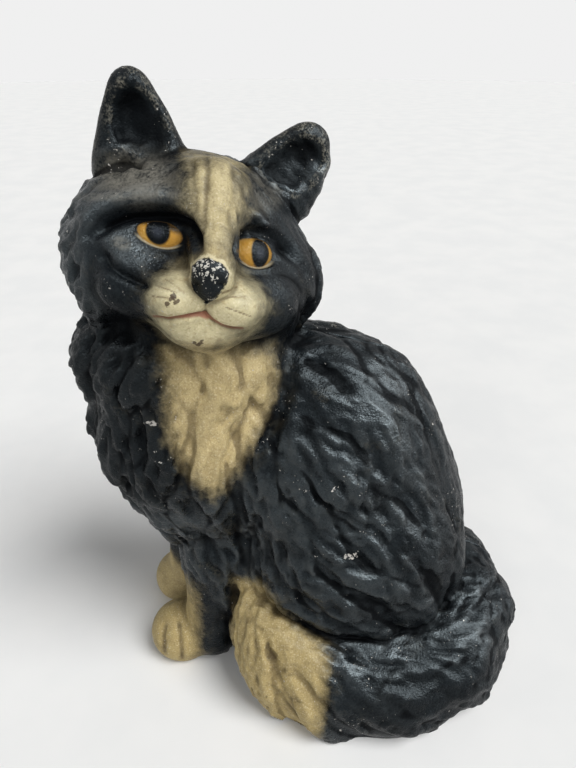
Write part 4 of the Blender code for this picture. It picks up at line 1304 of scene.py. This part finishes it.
class PaintedIron(Coating):
    """Old satin enamel on cast iron: black with cream markings, rubbed and dusty on its high places, with
    painted shade in its creases and grooves and over the ruff on the left, painted highlights on the left
    brow's ridge and cheek, grime with painted shade in the cream's grooves, and chipped through to the metal
    in specks."""

    def __init__(self, name):
        super().__init__(name)
        sight = self.mark("sight", "Vector")
        self.across, self.up = (self.node("SeparateXYZ", {}, {0: sight}, axis) for axis in (0, 1))
        self.cream = self.mark("cream")
        self.height = self.mark("height")
        self.rim = self.mark("rim")
        self.clouds = self.noise(0.016)
        self.mottle = self.noise(0.0040, 4.0)
        self.grain = self.noise(0.0008, 3.0)
        self.glitter = self.noise(0.00055, 2.0)
        self.specks = self.noise(0.0017, 3.0, 0.6)
        self.flecks = self.noise(0.0010, 2.0, 0.6)
        self.high = self.height.step(0.0, 1.3)
        # Where the form bends inward or the relief sinks deep: the mask of painted shade in creases and
        # grooves, which also dulls the gloss there
        self.hollow = self.rim.step(-0.02, -0.28).most(self.height.step(-1.5, -2.6))
        # The ruff on the left side gets painted shade: deeper black, less dust and less gloss there
        left_side = self.across.step(-27.0, -38.0)
        self.ruff = left_side * self.up.step(166.0, 156.0) * self.up.step(84.0, 96.0)
        self.ears = self.oval(LEFT_EAR_HOLLOW, RIGHT_EAR_HOLLOW).step(0.75, 1.15)
        edge = self.cream + (self.mottle - 0.5) * 2.6 + (self.clouds - 0.5) * 3.5
        self.edge = edge + (self.grain - 0.5) * 2.5 + self.height * 0.5
        self.cover = self.edge.step(-2.4, 5.4)
        # Dust on the high places of the relief and in clouds, less over the ruff where shade is painted
        dust_and_highlight = self.high * self.mottle.step(0.45, 0.75) * 0.08 + self.clouds.step(0.55, 0.75) * 0.04
        self.dust_and_highlight = dust_and_highlight * (1.0 - self.ruff)
        # Dust on the forehead, and painted highlights on the left brow's ridge and cheek, in the same grey
        for place, strength in DUST_AND_HIGHLIGHT_PLACES:
            dusty = (self.mottle * 0.6 + self.grain * 0.6).step(0.35, 0.75) * strength
            self.dust_and_highlight = self.dust_and_highlight.most(self.oval(place).step(1.3, 0.4) * dusty)

    def oval(self, *ovals):
        return oval_reach(self.across, self.up, *ovals)

    def black(self):
        """The black enamel: clouded, dusty where it is rubbed, with painted highlights in the same grey on
        the left brow's ridge and cheek, painted shade in creases and over the ruff, and cream overspray near
        the markings.
        """
        black = self.mix(self.clouds.step(0.35, 0.68), ENAMEL_DEEP, ENAMEL_THIN)
        black = self.mix(self.dust_and_highlight, black, DUST_AND_HIGHLIGHT_GREY)
        # Painted shade over the ruff on the left side
        black = self.mix(self.ruff * 0.75, black, RUFF_SHADE_BLACK)
        drift = self.cream.step(-7.5, -1.0) * self.mottle.step(0.42, 0.66) * 0.40
        in_ears = self.noise(0.020, 4.0, 0.65).step(0.58, 0.72) * self.grain.step(0.40, 0.60) * 0.40
        black = self.mix(drift.most(self.ears * in_ears), black, OVERSPRAY)
        # Painted shade: the black goes darker still in creases and deep grooves
        return self.mix(self.hollow * 0.85, black, CREASE_SHADE_BLACK)

    def tan(self):
        """The cream enamel: palest on the muzzle and the blaze, flecked, and darkened in its grooves and
        creases by grime and painted shade.
        """
        up = self.up
        muzzle = up.step(147.0, 152.0) * up.step(176.0, 168.0)
        blaze = up.step(170.0, 180.0) * up.step(300.0, 290.0)
        tan = self.mix(up.step(66.0, 76.0), PAW_TAN, GOLD_TAN)
        tan = self.mix(muzzle, tan, PALE_CREAM)
        tan = self.mix(blaze * 0.45, tan, PALE_CREAM)
        tan = self.mix(self.glitter.step(0.54, 0.74) * 0.40, tan, BRIGHT_FLECK)
        tan = self.mix(self.glitter.step(0.46, 0.30) * (1.0 - muzzle * 0.6) * 0.38, tan, BROWN_FLECK)
        # Grime in random patches, and painted shade where the relief sinks below its mean and in creases
        grime_and_shade = self.height.step(0.0, -1.0) * 0.65 + self.mottle.step(0.56, 0.40) * 0.18
        tan = self.mix(grime_and_shade, tan, GRIME_AND_SHADE)
        tan = self.mix(self.hollow * 0.55, tan, GRIME_AND_SHADE)
        stains = (self.specks * 0.6 + self.grain * 0.4).step(0.50, 0.64)
        return self.mix(muzzle * stains * 0.45, tan, MUZZLE_BROWN)

    def with_eyes(self, colour):
        """Amber eyes with soft grey pupils, dark round them, pale below, and the left eye's top darkened by a
        painted shadow of the brow.
        """
        across, up, mix = self.across, self.up, self.mix
        left, right = self.oval(LEFT_EYE), self.oval(RIGHT_EYE)
        eyes = left.least(right)
        self.eye_paint = eyes.step(1.07, 0.95)
        colour = mix(eyes.step(1.50, 1.20) * 0.85, colour, ENAMEL_DEEP)
        below_left = left.step(1.24, 1.10) * (up + across * 0.28).step(169.6, 168.0)
        below_right = right.step(1.24, 1.10) * up.step(173.2, 171.6)
        colour = mix(below_left.most(below_right) * 0.7, colour, LID_CREAM)
        amber = mix(self.mottle.step(0.62, 0.38) * 0.45, AMBER, BURNT_AMBER)
        amber = mix(eyes.step(0.72, 1.02) * 0.6, amber, IRIS_EDGE)
        colour = mix(self.eye_paint, colour, amber)
        pupils = self.oval(LEFT_PUPIL, RIGHT_PUPIL)
        pupil = mix(pupils.step(0.10, 0.70), PUPIL_GREY, PUPIL_BLACK)
        colour = mix(pupils.step(1.12, 0.88) * self.eye_paint, colour, pupil)
        # Painted shadow of the brow over the top of the left eye
        brow_shadow = left.step(1.10, 0.95) * (up + across * 0.30).step(170.6, 172.4)
        return mix(brow_shadow * 0.9, colour, ENAMEL_DEEP)

    def with_muzzle(self, colour):
        """A black nose chipped to a pale ground, with a painted highlight on the pale rim along its top; the
        mouth, lip, whiskers and spots.
        """
        across, up, mix, grain = self.across, self.up, self.mix, self.grain
        outline = self.mark("nose") + (self.mottle - 0.5) * 1.6 + (grain - 0.5) * 1.6
        nose = outline.step(-0.35, 0.35)
        chips = self.flecks * 0.7 + self.glitter * 0.3 + up.step(164.5, 173.0) * 0.13
        chips = (chips - across.step(-21.0, -15.0) * 0.03).step(0.62, 0.66)
        colour = mix(nose, colour, ENAMEL_DEEP)
        colour = mix(nose * chips * 0.9, colour, NOSE_CHIP)
        # Painted highlight: a brighter cream band just outside the nose's outline, on its upper part only
        rim = outline.step(-1.3, -0.6) * outline.step(0.2, -0.3) * up.step(165.0, 169.0)
        colour = mix(rim * 0.6, colour, NOSE_RIM_HIGHLIGHT)
        colour = mix(self.mark("mouth").step(0.62, 0.20) * 0.7, colour, MOUTH_BROWN)
        colour = mix(self.mark("lip").step(-0.30, 0.30) * 0.9, colour, LIP_RED)
        whiskers = self.mark("whisker").step(0.36, 0.12) * self.mottle.step(0.25, 0.50)
        colour = mix(whiskers * 0.7, colour, WHISKER_BROWN)
        for place in SPOTS:
            spot = self.oval((place, (0.85, 0.60), 40.0)) + (self.specks - 0.5) * 3.5 + (grain - 0.5) * 1.5
            colour = mix(spot.step(1.1, 0.6) * 0.85, colour, SPOT_BROWN)
        return colour

    def finished(self):
        """The material: the paints laid over one another, the wear, and a gloss that the grooves lack."""
        high, hollow, grain, glitter, mottle = self.high, self.hollow, self.grain, self.glitter, self.mottle
        colour = self.mix(self.cover, self.black(), self.tan())
        colour = self.with_muzzle(self.with_eyes(colour))
        worn = self.rim.step(0.08, 0.34) * self.up.step(196.0, 201.0)
        worn = worn * (grain * 0.5 + glitter * 0.5).step(0.44, 0.60) * mottle.step(0.40, 0.62)
        colour = self.mix(worn * (1.0 - self.cover) * 0.42, colour, WORN_EDGE)
        clusters = self.noise(0.009, 2.0).step(0.54, 0.66)
        patch = self.oval(*BARE_PATCHES).step(1.25, 0.55)
        wear = self.flecks + clusters * 0.075 + self.rim.step(0.16, 0.40) * 0.035 + patch * 0.24
        wear = wear.step(0.745, 0.775)
        colour = self.mix(wear, colour, BARE_IRON)
        gloss = (0.26 + high * 0.44 + (grain - 0.5) * 0.6 - wear * 0.2) * (1.0 - self.ruff * 0.6)
        gloss = gloss * (1.0 - hollow * 0.9) * (0.2 + high * 0.4 + self.ears * 0.6)
        gloss = gloss * (1.0 - self.cover * 0.6) * (1.0 - self.eye_paint * 0.4)
        shine = 0.17 + mottle * 0.10 + grain * 0.12 + wear * 0.15 + self.edge.step(-1.7, 1.5) * 0.12
        shine = shine - self.eye_paint * 0.12 + hollow * 0.25 + self.dust_and_highlight * 0.35
        lumps = grain * 0.60 + mottle * 0.30 - wear * 0.25 + glitter * 0.42
        self.surface(base_color=colour, roughness=shine, metallic=wear * 0.35, specular_ior_level=0.55)
        self.surface(normal=self.bumps(lumps, 1.0, 0.00038), specular_tint=SHEEN_TINT)
        return self.dulled(gloss.least(1.0), specular_ior_level=0.03)


def aged_steel(name):
    """Steel of a machine screw gone dull: grey, with brown stains and a turned grain."""
    f = Coating(name)
    stains = f.noise(0.0022, 4.0).step(0.42, 0.66)
    grain = f.noise(0.0005)
    colour = f.mix(stains * 0.7, (0.30, 0.29, 0.27), (0.11, 0.065, 0.038))
    f.surface(base_color=colour, normal=f.bumps(grain, 0.5, 0.0001))
    return f.surface(roughness=0.34 + stains * 0.3 + grain * 0.1, metallic=1.0 - stains * 0.5)


def make_floor():
    """A wide round floor: rings of points, each at its radius and height 0, joined by faces."""
    turns = np.linspace(0.0, 2.0 * math.pi, FLOOR_POINTS, endpoint=False)
    ring = np.stack([np.cos(turns), np.sin(turns), np.zeros(FLOOR_POINTS)], axis=1)
    points = np.concatenate([ring * radius for radius in FLOOR_RADII])
    inner, nxt, outer_nxt, outer = ringed_quads(len(FLOOR_RADII), FLOOR_POINTS)
    quads = np.stack([inner, outer, outer_nxt, nxt], axis=1)
    mesh = bpy.data.meshes.new("floor")
    mesh.from_pydata(points.tolist(), [], [list(range(FLOOR_POINTS))] + quads.tolist())
    floor = link("floor", mesh)
    f = Coating("floor_white")
    tint = f.mix(f.noise(0.05).step(0.3, 0.7), (0.83, 0.835, 0.83), (0.87, 0.87, 0.86))
    mesh.materials.append(f.surface(base_color=tint, roughness=0.9, specular_ior_level=0.1))


def make_camera():
    camera = link("camera", bpy.data.cameras.new("camera"))
    camera.data.lens = LENS
    camera.data.sensor_width = 36.0
    camera.data.clip_start = 0.01
    camera.location = EYE_POINT + SHIFT
    camera.rotation_euler = (math.radians(90.0) - VIEW_DOWN, 0.0, 0.0)
    bpy.context.scene.camera = camera


def make_sky():
    """A white sky: a soft light on surfaces, and near white where it is looked at, directly, in a reflection
    or through glass."""
    bpy.context.scene.world = bpy.data.worlds.new("studio")
    f = Finish(bpy.context.scene.world)
    camera, glass, mirror = (
        f.node("LightPath", {}, {}, "Is " + kind + " Ray") for kind in ("Camera", "Transmission", "Glossy")
    )
    limits = {"Value": camera.most(glass).most(mirror), "To Min": SKY_LIGHT, "To Max": SKY_SHOWN}
    background = f.tree.nodes["Background"]
    f.feed(background.inputs["Strength"], f.node("MapRange", {}, limits))
    background.inputs["Color"].default_value = (1.0, 1.0, 1.0, 1.0)


def make_lamps():
    for name, towards, softness, strength, lights, shines in LAMPS:
        lamp = link(name, bpy.data.lights.new(name, "SUN"))
        lamp.data.energy = strength
        lamp.data.angle = math.radians(softness)
        lamp.rotation_euler = Vector(towards).to_track_quat("Z", "Y").to_euler()
        lamp.visible_diffuse = lights
        lamp.visible_glossy = shines


figure = make_clay()
cutters = [
    make_core(),
    make_bore("screw_way", SHANK_ENDS, SHANK_RADIUS),
    make_bore("head_recess", RECESS_ENDS, RECESS_RADIUS),
]
for name, node, side, slot in (
    ("front_skin", "front_half_casting", -1.0, "front_paint"),
    ("rear_skin", "rear_half_casting", 1.0, "rear_paint"),
):
    skin = make_skin(name, node, side, cutters)
    skin.data.materials.append(PaintedIron(slot).finished())
for cutter in cutters:
    bpy.data.objects.remove(cutter)
screw = frame["nodes"]["assembly_screw"]
screw.data.materials.clear()
screw.data.materials.append(aged_steel("screw_steel"))

make_camera()
make_floor()
make_sky()
make_lamps()
bpy.context.scene.view_settings.view_transform = "Standard"
